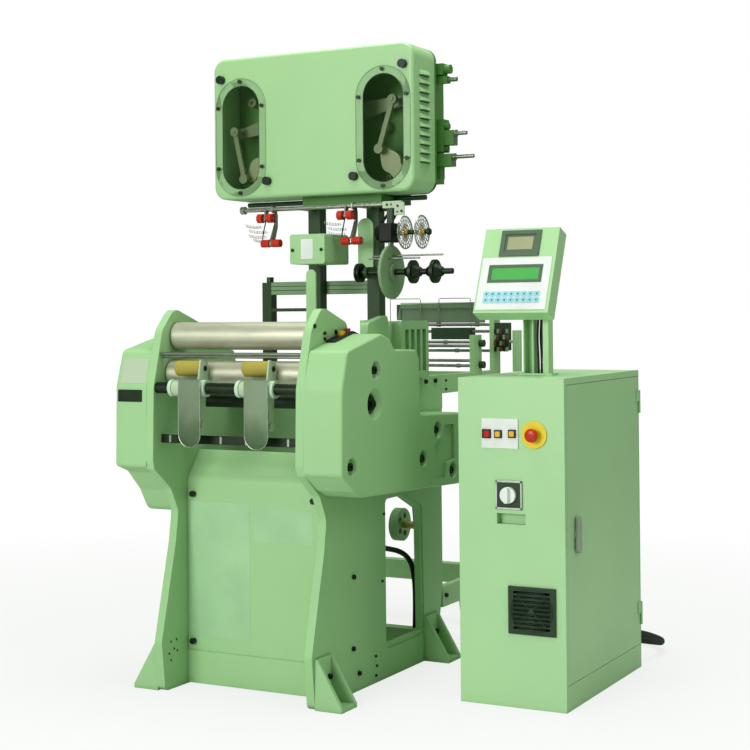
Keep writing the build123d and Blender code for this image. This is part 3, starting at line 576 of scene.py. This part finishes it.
def slot_path(x, y, z, w, h, steps=24):
    """Points round an upright slot of width w and height h: a half circle above and one below."""
    r, a = w / 2, np.linspace(0, np.pi, steps)
    top = np.stack([x + r * np.cos(a), np.full(steps, y), z + h / 2 - r + r * np.sin(a)], 1)
    low = np.stack([x - r * np.cos(a), np.full(steps, y), z - h / 2 + r - r * np.sin(a)], 1)
    return np.concatenate([top, low])


def window_rings(y, w, h, wire):
    """A ring of wire round each of the two windows."""
    return [tube_grid(slot_path(side * WINDOW_X, y, WINDOW_Z, w, h), wire, 8, closed=True)
            for side in (-1, 1)]


def louvre_grid(y0, y1, z, height, depth):
    """depth (1 - u^4)^1/2 v^1/2 in front of the flank, u from end to end and v from top to lip.
    A last row at the lip's height drops back into the sheet."""
    v = np.append(np.linspace(0, 1, 9) ** 2, 1)
    u, v = np.meshgrid(np.linspace(-1, 1, 25), v, indexing="ij")
    proud = depth * np.sqrt(1 - u ** 4) * np.sqrt(v)
    proud[:, -1] = -0.0004
    y = (y0 + y1) / 2 + u * (y1 - y0) / 2
    return np.stack([HEAD_FLANK + proud, y, z + height * (0.5 - v)], -1), grid_faces(*u.shape)


place_many("window_gaskets", window_rings(0.0795, 0.156, 0.374, 0.0016), dark_enamel)
place_many("window_rims", window_rings(0.0776, 0.213, 0.428, 0.0010), grey_enamel)
levels = LOUVRE_TOP - LOUVRE_STEP * np.arange(LOUVRE_COUNT)
place_many("pressed_louvres", [louvre_grid(0.124, 0.203, z, 0.018, 0.016) for z in levels], enamel)
# A thin dark plate under each louvre is painted shade in the opening below its lip.
shade_outline = rounded_outline(0.074, 0.005, 0.002)
louvre_shade_plates = [plate_grid(shade_outline, (HEAD_FLANK - 0.0002, 0.1635, z - 0.0105), BACK, UP, 0.0006)
         for z in levels]
place_many("louvre_painted_shade", louvre_shade_plates, dark_enamel, smooth=False)
print("louvres", LOUVRE_COUNT)

# %% [markdown]
# The control panel leans back by 22.8 degrees. A point on its face is given by u across and v up
# along the slope, so that displays and keys are drawn flat and land on the tilted sheet.

# %% Control panel
TILT = math.radians(22.8)
PANEL_CORNER = np.array([0.660, 0.0, 1.246])
PANEL_UP = np.array([0.0, math.sin(TILT), math.cos(TILT)])
PANEL_OUT = np.array([0.0, -math.cos(TILT), math.sin(TILT)])
GREY_DISPLAY = (0.1325, 0.2485)
KEY_ROWS, KEY_COLUMNS = 2, 9
KEY_STEP_U, KEY_STEP_V = 0.0223, 0.0215


def panel_tile(u, v, w, h, proud, thickness, r=0.002):
    """A rounded tile on the sloping face, its middle at (u, v) and standing proud of the box."""
    place = PANEL_CORNER + u * RIGHT + v * PANEL_UP + proud * PANEL_OUT
    return plate_grid(rounded_outline(w, h, r), place, RIGHT, PANEL_UP, thickness)


plates("green_display_glass", [panel_tile(0.130, 0.139, 0.168, 0.044, 0.001, 0.0008)], screen_green)
plates("grey_display_glass", [panel_tile(*GREY_DISPLAY, 0.090, 0.046, 0.002, 0.0012)], screen_grey)
plates("display_inner_frame", [panel_tile(*GREY_DISPLAY, 0.108, 0.064, 0.002, 0.0004)], bezel_grey)
key_spots = [(0.0400 + KEY_STEP_U * i, 0.0445 + KEY_STEP_V * j)
             for j in range(KEY_ROWS) for i in range(KEY_COLUMNS)]
plates("key_field", [panel_tile(0.129, 0.0555, 0.204, 0.044, 0.002, 0.0004)], membrane_white)
keys = [panel_tile(u, v, 0.0215, 0.0200, 0.0024, 0.0008, 0.006) for u, v in key_spots]
plates("keys", keys, key_blue)
marks = [panel_tile(u, v, 0.0055, 0.0060, 0.0032, 0.0003, 0.001) for u, v in key_spots]
plates("key_marks", marks, key_mark)
print("keys", len(key_spots))

# %% [markdown]
# A few thin plates are screwed or glued on flat places. All of them are bare. Two lie on the gear
# housing, whose front leans back by a different amount above and below.

# %% Bare plates
BASE_FRONT = -0.300
JUNCTION_FRONT = -0.020
upper_slope = np.array([0.0, 37.0, 119.0]) / math.hypot(37, 119)
lower_slope = np.array([0.0, 6.0, 265.0]) / math.hypot(6, 265)
plates("front_notices", [flat_tile(-0.262, -0.024, 0.162, 0.618, BASE_FRONT, 0.0004),
                         flat_tile(-0.008, 0.219, 0.495, 0.606, BASE_FRONT, 0.0004)], blank_pale)
plates("junction_label", [flat_tile(0.016, 0.064, 1.438, 1.508, JUNCTION_FRONT)], white_plastic)
silver = rounded_outline(0.104, 0.086, 0.003)
plates("housing_plate_upper",
       [plate_grid(silver, (-0.361, -0.4733, 1.064), RIGHT, upper_slope, 0.0012)], blank_silver)
dark = rounded_outline(0.098, 0.040, 0.003)
plates("housing_plate_lower",
       [plate_grid(dark, (-0.368, -0.4913, 0.982), RIGHT, lower_slope, 0.0012)], dark_steel)
scale_marks = [front_plate(x, 0.840, 0.008, 0.024, -0.448, 0.0003, 0.001)
               for x in (-0.238, -0.038, 0.060, 0.218)]
plates("scale_marks", scale_marks, zinc)
print("bare plates laid")

# %% [markdown]
# Cap screws and small buttons are turned shapes a few millimetres high. The yellow square in each
# black key is a lens that rides on the key and sinks with it.

# %% Buttons and screws
CABINET_FACE = -0.130
STRIP_X = 0.319


def dome(r, height, steps=6):
    """Profile of a low rounded cap of radius r: a short wall, then a quarter circle inwards."""
    a = np.linspace(0, np.pi / 2, steps)
    half = height * 0.5
    return [(r, 0.0), (r, half)] + list(zip(r - half + half * np.cos(a), half + half * np.sin(a)))


def strip_height(y):
    """Top of the button strip, which climbs from 1164 to 1192 mm between y = -348 and -228."""
    return 1.164 + (y + 0.348) * 28 / 120


def square_frame(x, z, half, strip, thickness, r):
    """Four strips on the cabinet's front, each running at the distance half from (x, z)."""
    long = 2 * half + strip
    bars = [(x, z + s * half, long, strip) for s in (1, -1)]
    bars += [(x + s * half, z, strip, long) for s in (-1, 1)]
    return [front_plate(*bar, CABINET_FACE, thickness, r) for bar in bars]


strip_buttons = [turned_grid(dome(0.0055, 0.006), (STRIP_X, y, strip_height(y) - 0.001), "Z", 20)
                 for y in (-0.338, -0.322, -0.306)]
place_many("strip_buttons", strip_buttons, rubber_black)
green_cap = turned_grid(dome(0.0055, 0.007), (STRIP_X, -0.2585, 1.1838), "Z", 20)
place_many("strip_button_green", [green_cap], screen_green)
for name, x, z in (("push_button_left", 0.804, 0.862), ("push_button_right", 0.852, 0.864)):
    lens = front_plate(x, z, 0.017, 0.017, -0.136, 0.002, 0.003)
    plates(name.replace("push", "lens"), [lens], yellow_button, name)
plates("switch_frame", square_frame(0.838, 0.670, 0.0425, 0.005, 0.0015, 0.002), zinc)
cap_screw = [(0.006, 0.0), (0.006, -0.003), (0.004, -0.0045)]
junction_screws = [turned_grid(cap_screw, (x, JUNCTION_FRONT, 1.470), "Y", 20)
                   for x in (-0.017, 0.098)]
place_many("junction_screws", junction_screws, dark_steel)
flat_screw = [(0.004, 0.0), (0.004, 0.0008), (0.0025, 0.0012)]
left_frame_spots = ((-0.404, 0.158), (-0.372, 0.160), (-0.414, 0.120),
                    (-0.386, 0.132), (-0.404, 0.096), (-0.368, 0.122))
left_frame_screws = [turned_grid(flat_screw, (-0.273, y, z), "X", 16) for y, z in left_frame_spots]
place_many("left_frame_screws", left_frame_screws, dark_steel)
print("small parts set")

# %% [markdown]
# Two press rollers hold the tape against the lower steel roller, and a steel tongue below carries
# the tape away. Each roller turns in an arm that is clamped on the black shaft. The arm's plate has
# an outline drawn tight round circles: in each direction, the circle that reaches furthest gives
# the point.

# %% Press arms and rollers
SHAFT, ROLLER, STAY, LEVER = (-0.468, 1.0095), (-0.4505, 1.074), (-0.4705, 1.098), (-0.462, 0.8905)
ARM_WIDTH = 0.107
TONGUE_TOP, TONGUE_LOW, TONGUE_Y = 1.040, 0.819, -0.5022


def hull_outline(circles, steps=96):
    """Tight outline round circles of (y, z, radius)."""
    a = np.linspace(0, 2 * np.pi, steps, endpoint=False)
    ways = np.stack([np.cos(a), np.sin(a)], 1)
    circles = np.array(circles)
    best = (ways @ circles[:, :2].T + circles[:, 2]).argmax(1)
    return circles[best, :2] + circles[best, 2:] * ways


def side_plate(circles, x, thickness):
    """A plate across x with a tight outline round circles of (y, z, radius)."""
    return plate_grid(hull_outline(circles), (x, 0, 0), BACK, UP, thickness)


def tongue_outline(x0, x1):
    """A strip from x0 to x1 that ends below in a half circle."""
    half = (x1 - x0) / 2
    a = np.linspace(np.pi, 2 * np.pi, 33)
    low = np.stack([x0 + half + half * np.cos(a), TONGUE_LOW + half + half * np.sin(a)], 1)
    return np.concatenate([[(x1, TONGUE_TOP), (x0, TONGUE_TOP)], low])


lever_knob = [(0.012, -0.008), (0.014, -0.006), (0.014, 0.003), (0.010, 0.003)]
axle_screw = [(0.009, 0.0), (0.009, 0.0022), (0.0075, 0.003), (0.004, 0.003), (0.0035, 0.001)]
for side, x0 in (("left", -0.2015), ("right", 0.0605)):
    x1 = x0 + ARM_WIDTH
    parts = [side_plate([(*SHAFT, 0.024), (*ROLLER, 0.0235), (*STAY, 0.005)], x1 - 0.006, 0.006),
             side_plate([(*SHAFT, 0.024), (*LEVER, 0.010)], x1 - 0.0062, 0.0058),
             side_plate([(*SHAFT, 0.0265)], x0 + 0.001, 0.030),
             turned_grid(lever_knob, (x1, *LEVER), "X", 24)]
    arm = plates("arm_plates_" + side, parts, arm_enamel, "arm_" + side, 0.0008)
    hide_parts("press_arm_" + side)
    screw = turned_grid(axle_screw, (x1, *ROLLER), "X", 24)
    place_many("arm_screw_" + side, [screw], dark_steel, "arm_" + side)
    barrel = [(0.008, x0 + 0.0005), (0.023, x0 + 0.0005), (0.0255, x0 + 0.003),
              (0.0255, x1 - 0.0095), (0.023, x1 - 0.007), (0.008, x1 - 0.007)]
    roll = turned("nylon_roller_" + side, barrel, (0, *ROLLER), "X", yellow_nylon,
                  "press_roller_" + side, 64)
    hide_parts("press_roller_" + side)
tongue_edges, tongues = [], []
for x0, x1, ring_x in ((-0.165, -0.0795, -0.150), (0.089, 0.178, 0.110)):
    outline = tongue_outline(x0, x1)
    inner = outline + (outline.mean(0) - outline) * 0.016
    clamp = [(0.0188, ring_x), (0.030, ring_x), (0.030, ring_x + 0.020), (0.0188, ring_x + 0.020)]
    tongues.append(plate_grid(outline, (0, TONGUE_Y, 0), RIGHT, UP, 0.0012))
    tongues.append(turned_grid(clamp, (0, *SHAFT), "X", 48))
    edge_path = np.insert(inner, 1, TONGUE_Y - 0.0012, axis=1)
    tongue_edges.append(tube_grid(edge_path, 0.0014, 8, closed=True))
chute = place_many("chute_tongues", tongues, chute_steel, smooth=False)
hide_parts("chute_plates")
place_many("chute_edges", tongue_edges, zinc)
print("tongues", len(tongue_edges))

# %% [markdown]
# The feed wheels are light rims on thin spokes. A rim is a ring of tube; the spokes are straight
# tubes that leave a brass hub. Beside them stand a round guard, two thread rods, the bracket that
# ends the long rail, and strips that catch the light on the dark beams behind.

# %% Feed wheels and guard
FEED, SPOOL, MOTOR = (0.060, 1.523), (0.050, 1.388), (0.172, 1.612)
WHEELS_X = (0.383, 0.447)
SPOKES = 20


def disc_ring(x, centre, r, wire, steps=64):
    """A ring of tube in the plane across x."""
    a = np.linspace(0, 2 * np.pi, steps, endpoint=False)
    path = np.stack([np.full(steps, x), centre[0] + r * np.cos(a), centre[1] + r * np.sin(a)], 1)
    return tube_grid(path, wire, 8, closed=True)


wheel_wires = []
for x in WHEELS_X:
    for r, wire in ((0.0550, 0.0030), (0.0425, 0.0014), (0.0285, 0.0014)):
        wheel_wires.append(disc_ring(x, FEED, r, wire))
    for a in np.linspace(0, 2 * np.pi, SPOKES, endpoint=False):
        way = np.array([0, math.cos(a), math.sin(a)])
        spoke = [np.array([x, *FEED]) + r * way for r in (0.014, 0.034, 0.055)]
        wheel_wires.append(tube_grid(spoke, 0.0016, 6))
wheels = place_many("feed_wheel_rims", wheel_wires, zinc, "feed_wheels")
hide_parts("feed_wheels")
hub = [(0.006, -0.014), (0.011, -0.012), (0.011, -0.004), (0.017, -0.003),
       (0.017, 0.003), (0.011, 0.004), (0.011, 0.012), (0.006, 0.014)]
hubs = [turned_grid(hub, (x, *FEED), "X", 24) for x in WHEELS_X]
place_many("feed_wheel_hubs", hubs, brass, "feed_wheels")
axle = [(0.008, 0.312), (0.008, 0.470), (0.012, 0.470), (0.012, 0.477), (0.009, 0.480)]
place_many("feed_axle", [turned_grid(axle, (0, *FEED), "X", 24)], dark_steel, "feed_wheels")
guard_profile = [(0.012, 0.320), (0.028, 0.320), (0.030, 0.322), (0.030, 0.328), (0.090, 0.328),
                 (0.092, 0.330), (0.092, 0.338), (0.090, 0.340), (0.030, 0.340), (0.030, 0.346),
                 (0.028, 0.348), (0.012, 0.348)]
neck = plate_grid(rounded_outline(0.026, 0.030, 0.002), (0.329, 0.050, 1.482), BACK, UP, 0.008)
guard_parts = [turned_grid(guard_profile, (0, *SPOOL), "X", 96), neck]
guard_disc = place_many("feed_guard_disc", guard_parts, grey_enamel)
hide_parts("feed_bracket")
thread_rods = [tube_grid([(x, y, z) for x in stations], 0.003, 10) for stations, y, z in (
    ((0.262, 0.400, 0.531), 0.048, 1.444), ((0.262, 0.360, 0.458), 0.020, 1.434))]
place_many("thread_rods", thread_rods, bar_steel)
plates("rail_end_bracket", [flat_tile(0.300, 0.372, 1.608, 1.632, 0.068, 0.016, 0.002),
                            flat_tile(0.349, 0.386, 1.582, 1.626, 0.0518, 0.0058, 0.002)],
       arm_enamel)
plates("rail_end_post", [flat_tile(0.316, 0.338, 1.556, 1.608, 0.066, 0.014, 0.002)], dark_enamel)
beam_faces = [flat_tile(x0, x1, z0, z1, 0.1949, 0.0011, 0.002)
              for x0, x1 in ((-0.2395, -0.0535), (-0.0045, 0.1845))
              for z0, z1 in ((1.319, 1.333), (1.350, 1.364), (1.335, 1.348))]
plates("beam_faces", beam_faces, grey_enamel)
rail_end_spots = ((0.318, 0.052, 1.620, 0.0045), (0.334, 0.052, 1.620, 0.0035),
                  (0.362, 0.046, 1.614, 0.0045), (0.377, 0.046, 1.596, 0.0045),
                  (0.360, 0.046, 1.594, 0.0030))
rail_end_screws = [turned_grid([(r, 0.0), (r, -0.0016), (r * 0.7, -0.0022)], (x, y, z), "Y", 20)
                   for x, y, z, r in rail_end_spots]
place_many("rail_end_screws", rail_end_screws, dark_steel)
print("spokes", SPOKES * len(WHEELS_X))

# %% [markdown]
# The emergency button is a red mushroom: a cap with a rounded rim on a narrow stem. The lamp beside
# the keys sits in a thin black frame, and the box behind the rear frame carries rows of small
# terminals.

# %% Emergency button and terminals
cap = [(0.004, -0.1600), (0.012, -0.1595), (0.0180, -0.1578), (0.0212, -0.1550), (0.0220, -0.1515),
       (0.0214, -0.1470), (0.0190, -0.1440), (0.0115, -0.1440), (0.0115, -0.1170)]
mushroom = turned("mushroom_cap", cap, (0.925, 0, 0.862), "Y", red_plastic, "emergency_button", 64)
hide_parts("emergency_button")
lamp_frame = square_frame(0.7645, 0.8625, 0.0118, 0.0048, 0.0068, 0.001)
plates("lamp_frame", lamp_frame, black_plastic)
terminal_spots = [(0.311 + 0.0125 * i, 1.100 + 0.024 * j) for j in range(4) for i in range(5)]
terminal_kinds = (("terminals_dark", black_plastic), ("terminals_pale", grey_enamel),
                  ("terminals_brown", rust_plastic))
for first, (name, material) in enumerate(terminal_kinds):
    blocks = [front_plate(x, z, 0.0095, 0.017, 0.9795, 0.006 + 0.002 * first)
              for x, z in terminal_spots[first::len(terminal_kinds)]]
    plates(name, blocks, material)
ear_spots = ((-0.420, 1.210, 0.0075), (-0.285, 1.190, 0.0075),
             (-0.356, 1.186, 0.0055), (-0.356, 1.168, 0.0055))
ear_screws = [turned_grid([(r, -0.0005), (r, 0.0035), (r * 0.8, 0.0045)], (0.302, y, z), "X", 20)
              for y, z, r in ear_spots]
place_many("ear_screws", ear_screws, dark_steel)
print("terminals", len(terminal_spots))

# %% [markdown]
# The cabinet fan blows through a guard of concentric rings held by diagonal ribs.

# %% Fan guard
FAN = np.array([0.9135, -0.1355, 0.309])


def ring_path(centre, r, steps=72):
    """A circle that faces the front."""
    a = np.linspace(0, 2 * np.pi, steps, endpoint=False)
    return centre + r * np.stack([np.cos(a), np.zeros(steps), np.sin(a)], 1)


radii = np.arange(0.012, 0.070, 0.0058)
guard = [tube_grid(ring_path(FAN, r), 0.0011, 8, closed=True) for r in radii]
for a in (np.pi / 4, 3 * np.pi / 4):
    way = np.array([np.cos(a), 0, np.sin(a)])
    guard.append(tube_grid([FAN + way * s * 0.072 for s in (-1, -0.5, 0, 0.5, 1)], 0.0016, 8))
guard.append(turned_grid([(0.009, 0.0012), (0.009, -0.0016)], FAN, "Y", 32))
place_many("fan_guard", guard, guard_plastic)
print("guard rings", len(radii))

# %% [markdown]
# Thin spring wires keep the yarns apart. A spring is a helix, a circle that moves along an axis as
# it turns, here with its own sag. Wire hoops at the back hold the warp at its entry.

# %% Springs and hoops
def helix(start, end, r, turns, sag, steps=16):
    """start + s (end - start), plus r (cos, sin) across, minus a parabola of depth sag."""
    s = np.linspace(0, 1, int(turns * steps))
    a = 2 * np.pi * turns * s
    points = np.array(start) + s[:, None] * (np.array(end) - np.array(start))
    points[:, 1] += r * np.cos(a)
    points[:, 2] += r * np.sin(a) - 4 * sag * s * (1 - s)
    return points


spring_rows = ((0.030, 1.566, 0.062), (0.040, 1.548, 0.070),
               (0.026, 1.530, 0.066), (0.044, 1.515, 0.058))
springs = []
for x0 in (-0.243, 0.082):
    for i, (y, z, long) in enumerate(spring_rows):
        x = x0 + 0.008 * i
        coil = helix((x, y, z), (x + long, y + 0.01, z - 0.006), 0.0045, 11, 0.004)
        springs.append(tube_grid(coil, 0.0007, 6))
place_many("yarn_springs", springs, spring_wire)
holders = []
for x, z in ((-0.168, 1.602), (0.156, 1.602)):
    bend = [(x, 0.058, z), (x - 0.004, 0.05, z - 0.03), (x - 0.008, 0.044, z - 0.06),
            (x - 0.01, 0.04, z - 0.088)]
    holders.append(tube_grid(bend, 0.0022, 8))
place_many("spring_holders", holders, dark_steel)
hoop_leg = [(0.0, 0.999, 1.190), (0.0, 0.990, 1.206), (0.0, 0.990, 1.250), (0.0, 0.990, 1.300),
            (0.004, 0.990, 1.304)]
hoops = []
for x0, x1 in ((-0.162, -0.024), (0.059, 0.198)):
    path = [(x0 + inset, y, z) for inset, y, z in hoop_leg] + [((x0 + x1) / 2, 0.990, 1.304)]
    path += [(x1 - inset, y, z) for inset, y, z in reversed(hoop_leg)]
    hoops.append(tube_grid(path, 0.0016, 8))
place_many("warp_hoops", hoops, polished)
print("springs", len(springs))

# %% [markdown]
# A double belt runs round two small pulleys beside the feed motor. Its line is an arc on each
# pulley, joined by the two straight runs that touch both.

# %% Feed belt
BELT_X = 0.288


def belt_path(a, b, ra, rb, x, steps=24):
    """Outer line round two circles in the y-z plane with centres a and b."""
    a, b = np.array(a), np.array(b)
    gap = b - a
    heading = math.atan2(gap[1], gap[0])
    lean_angle = math.acos((ra - rb) / np.hypot(*gap))
    first = heading + np.linspace(lean_angle, 2 * np.pi - lean_angle, steps)
    second = heading + np.linspace(-lean_angle, lean_angle, steps)
    points = np.concatenate([a + ra * np.stack([np.cos(first), np.sin(first)], 1),
                             b + rb * np.stack([np.cos(second), np.sin(second)], 1)])
    return np.column_stack([np.full(len(points), x), points])


def pulley(r, hub_r, centre):
    """A pulley with a groove between two rims of radius r."""
    floor_r = r - 0.0045
    profile = [(0.003, -0.012), (r, -0.008), (floor_r, -0.006), (floor_r, 0.006), (r, 0.008),
               (hub_r, 0.010)]
    return turned_grid(profile, (BELT_X, *centre), "X", 32)


belts = [tube_grid(belt_path(FEED, MOTOR, 0.024, 0.016, BELT_X + dx), 0.0026, 8, closed=True)
         for dx in (-0.003, 0.003)]
place_many("feed_belt", belts, rubber_black)
motor_shaft = turned_grid([(0.006, -0.06), (0.006, 0.0)], (BELT_X, *MOTOR), "X", 16)
belt_pulleys = [pulley(0.027, 0.008, FEED), pulley(0.019, 0.006, MOTOR), motor_shaft]
place_many("belt_pulleys", belt_pulleys, dark_steel)
print("belt points", len(belts[0][0]))

# %% [markdown]
# Three kinds of cable are seen. A corrugated conduit runs over the floor from the cabinet to the
# loom, three thin leads climb to the control panel, and two black hoses hang inside the right side
# frame. Each line is one smooth spline that starts and ends at its own first and last point, and
# the tubes follow the points that Blender works out along it. Routes are listed in millimetres.

# %% Cables
CONDUIT_R, WAVE_DEPTH, WAVE_LENGTH = 0.0134, 0.0006, 0.006


def spline_line(points, steps):
    """Points along a NURBS spline of order three through its ends, and the length of the line."""
    curve = bpy.data.curves.new("route", "CURVE")
    curve.dimensions = "3D"
    curve.resolution_u = steps
    spline = curve.splines.new("NURBS")
    spline.points.add(len(points) - 1)
    spline.points.foreach_set("co", np.column_stack([points, np.ones(len(points))]).ravel())
    spline.order_u = 3
    spline.use_endpoint_u = True
    route = bpy.data.objects.new("route", curve)
    mesh = bpy.data.meshes.new_from_object(route)
    line = np.zeros(len(mesh.vertices) * 3)
    mesh.vertices.foreach_get("co", line)
    line = line.reshape(-1, 3)
    bpy.data.meshes.remove(mesh)
    bpy.data.objects.remove(route)
    bpy.data.curves.remove(curve)
    return line, float(np.linalg.norm(np.diff(line, axis=0), axis=1).sum())


conduit_points = np.array([
    (980, 605, 100), (980, 662, 100), (1000, 722, 84), (1024, 790, 58), (1016, 862, 34),
    (966, 925, 20), (890, 958, 14.5), (800, 952, 15.5), (715, 926, 14.5), (640, 886, 15.5),
    (568, 832, 14.5), (505, 770, 15.5), (440, 722, 14.5), (376, 702, 19), (322.5, 698, 52),
    (287.5, 700, 106), (287.5, 700, 165),
]) / 1000
conduit_line, conduit_length = spline_line(conduit_points, 64)
along = np.append(0, np.cumsum(np.linalg.norm(np.diff(conduit_line, axis=0), axis=1)))
waves = CONDUIT_R + WAVE_DEPTH * np.cos(2 * np.pi * along / WAVE_LENGTH)
conduit = tube("corrugated_conduit", conduit_line, waves, hose_plastic, sides=20)
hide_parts("conduit")
lead_paths = [
    [(846, 112, 1040), (846, 112, 1096), (843, 110, 1160), (846, 113, 1228), (851, 117, 1296),
     (851, 119, 1372)],
    [(853, 120, 1040), (853, 120, 1090), (856, 119, 1150), (853, 122, 1216), (858, 124, 1290),
     (859, 126, 1380)],
    [(850, 129, 1040), (850, 129, 1100), (846, 128, 1166), (850, 130, 1234), (846, 132, 1304),
     (843, 133, 1396)],
]
for i, points in enumerate(lead_paths):
    line, length = spline_line(np.array(points) / 1000, 16)
    lead = tube("panel_lead_%d" % (i + 1), line, 0.0038, rubber_black, sides=12)
hose_paths = {
    "drive_hose_front": [
        (230, -294, 486), (230, -180, 478), (231, -60, 462), (230, 70, 444), (231, 185, 420),
        (230, 300, 394), (230, 378, 352), (229, 412, 280), (229, 418, 190), (228, 414, 100)],
    "drive_hose_rear": [
        (214, 245, 990), (220, 262, 905), (230, 330, 800), (234, 380, 680), (234, 404, 560),
        (238, 414, 440), (250, 424, 330), (256, 424, 210), (257, 412, 100)],
}
for name, points in hose_paths.items():
    line, length = spline_line(np.array(points) / 1000, 16)
    hose = tube(name, line, 0.0095, rubber_black, sides=16)
print("conduit", round(conduit_length, 3), "leads", len(lead_paths), "hoses", len(hose_paths))

# %% [markdown]
# The floor is a wide pale sheet that fades into the white surroundings. Part of its brightness is
# its own, so that it stays near white while it still takes the soft shadow under the feet.

# %% Floor
def pale_floor():
    """Diffuse white mixed with a glow that only camera rays meet, so it lights nothing."""
    f = Finish("pale_floor")
    f.shader.inputs["Base Color"].default_value = (0.62, 0.64, 0.62, 1)
    f.shader.inputs["Roughness"].default_value = 0.8
    away = f.tree.nodes.new("ShaderNodeVectorMath")
    away.operation = "LENGTH"
    f.link(f.place, away.inputs[0])
    fade = f.node("MapRange", From_Min=1.3, From_Max=5.0, To_Min=0.74, To_Max=1.0)
    f.link(away.outputs["Value"], fade.inputs["Value"])
    light_path = f.tree.nodes.new("ShaderNodeLightPath")
    share = f.tree.nodes.new("ShaderNodeMath")
    share.operation = "MULTIPLY"
    f.link(fade.outputs[0], share.inputs[1])
    glow = f.tree.nodes.new("ShaderNodeEmission")
    glow.inputs["Color"].default_value = (1, 1, 1, 1)
    glow.inputs["Strength"].default_value = 1.05
    mix = f.tree.nodes.new("ShaderNodeMixShader")
    f.link(light_path.outputs["Is Camera Ray"], share.inputs[0])
    f.link(share.outputs[0], mix.inputs["Fac"])
    f.link(f.shader.outputs[0], mix.inputs[1])
    f.link(glow.outputs[0], mix.inputs[2])
    f.link(mix.outputs[0], f.tree.nodes["Material Output"].inputs["Surface"])
    return f.material


floor_mesh = bpy.data.meshes.new("floor")
reach = 60.0
corners = [(-reach, -reach, 0), (reach, -reach, 0), (reach, reach, 0), (-reach, reach, 0)]
floor_mesh.from_pydata(corners, [], [(0, 1, 2, 3)])
floor = bpy.data.objects.new("floor", floor_mesh)
floor.data.materials.append(pale_floor())
bpy.context.scene.collection.objects.link(floor)
print("floor laid")
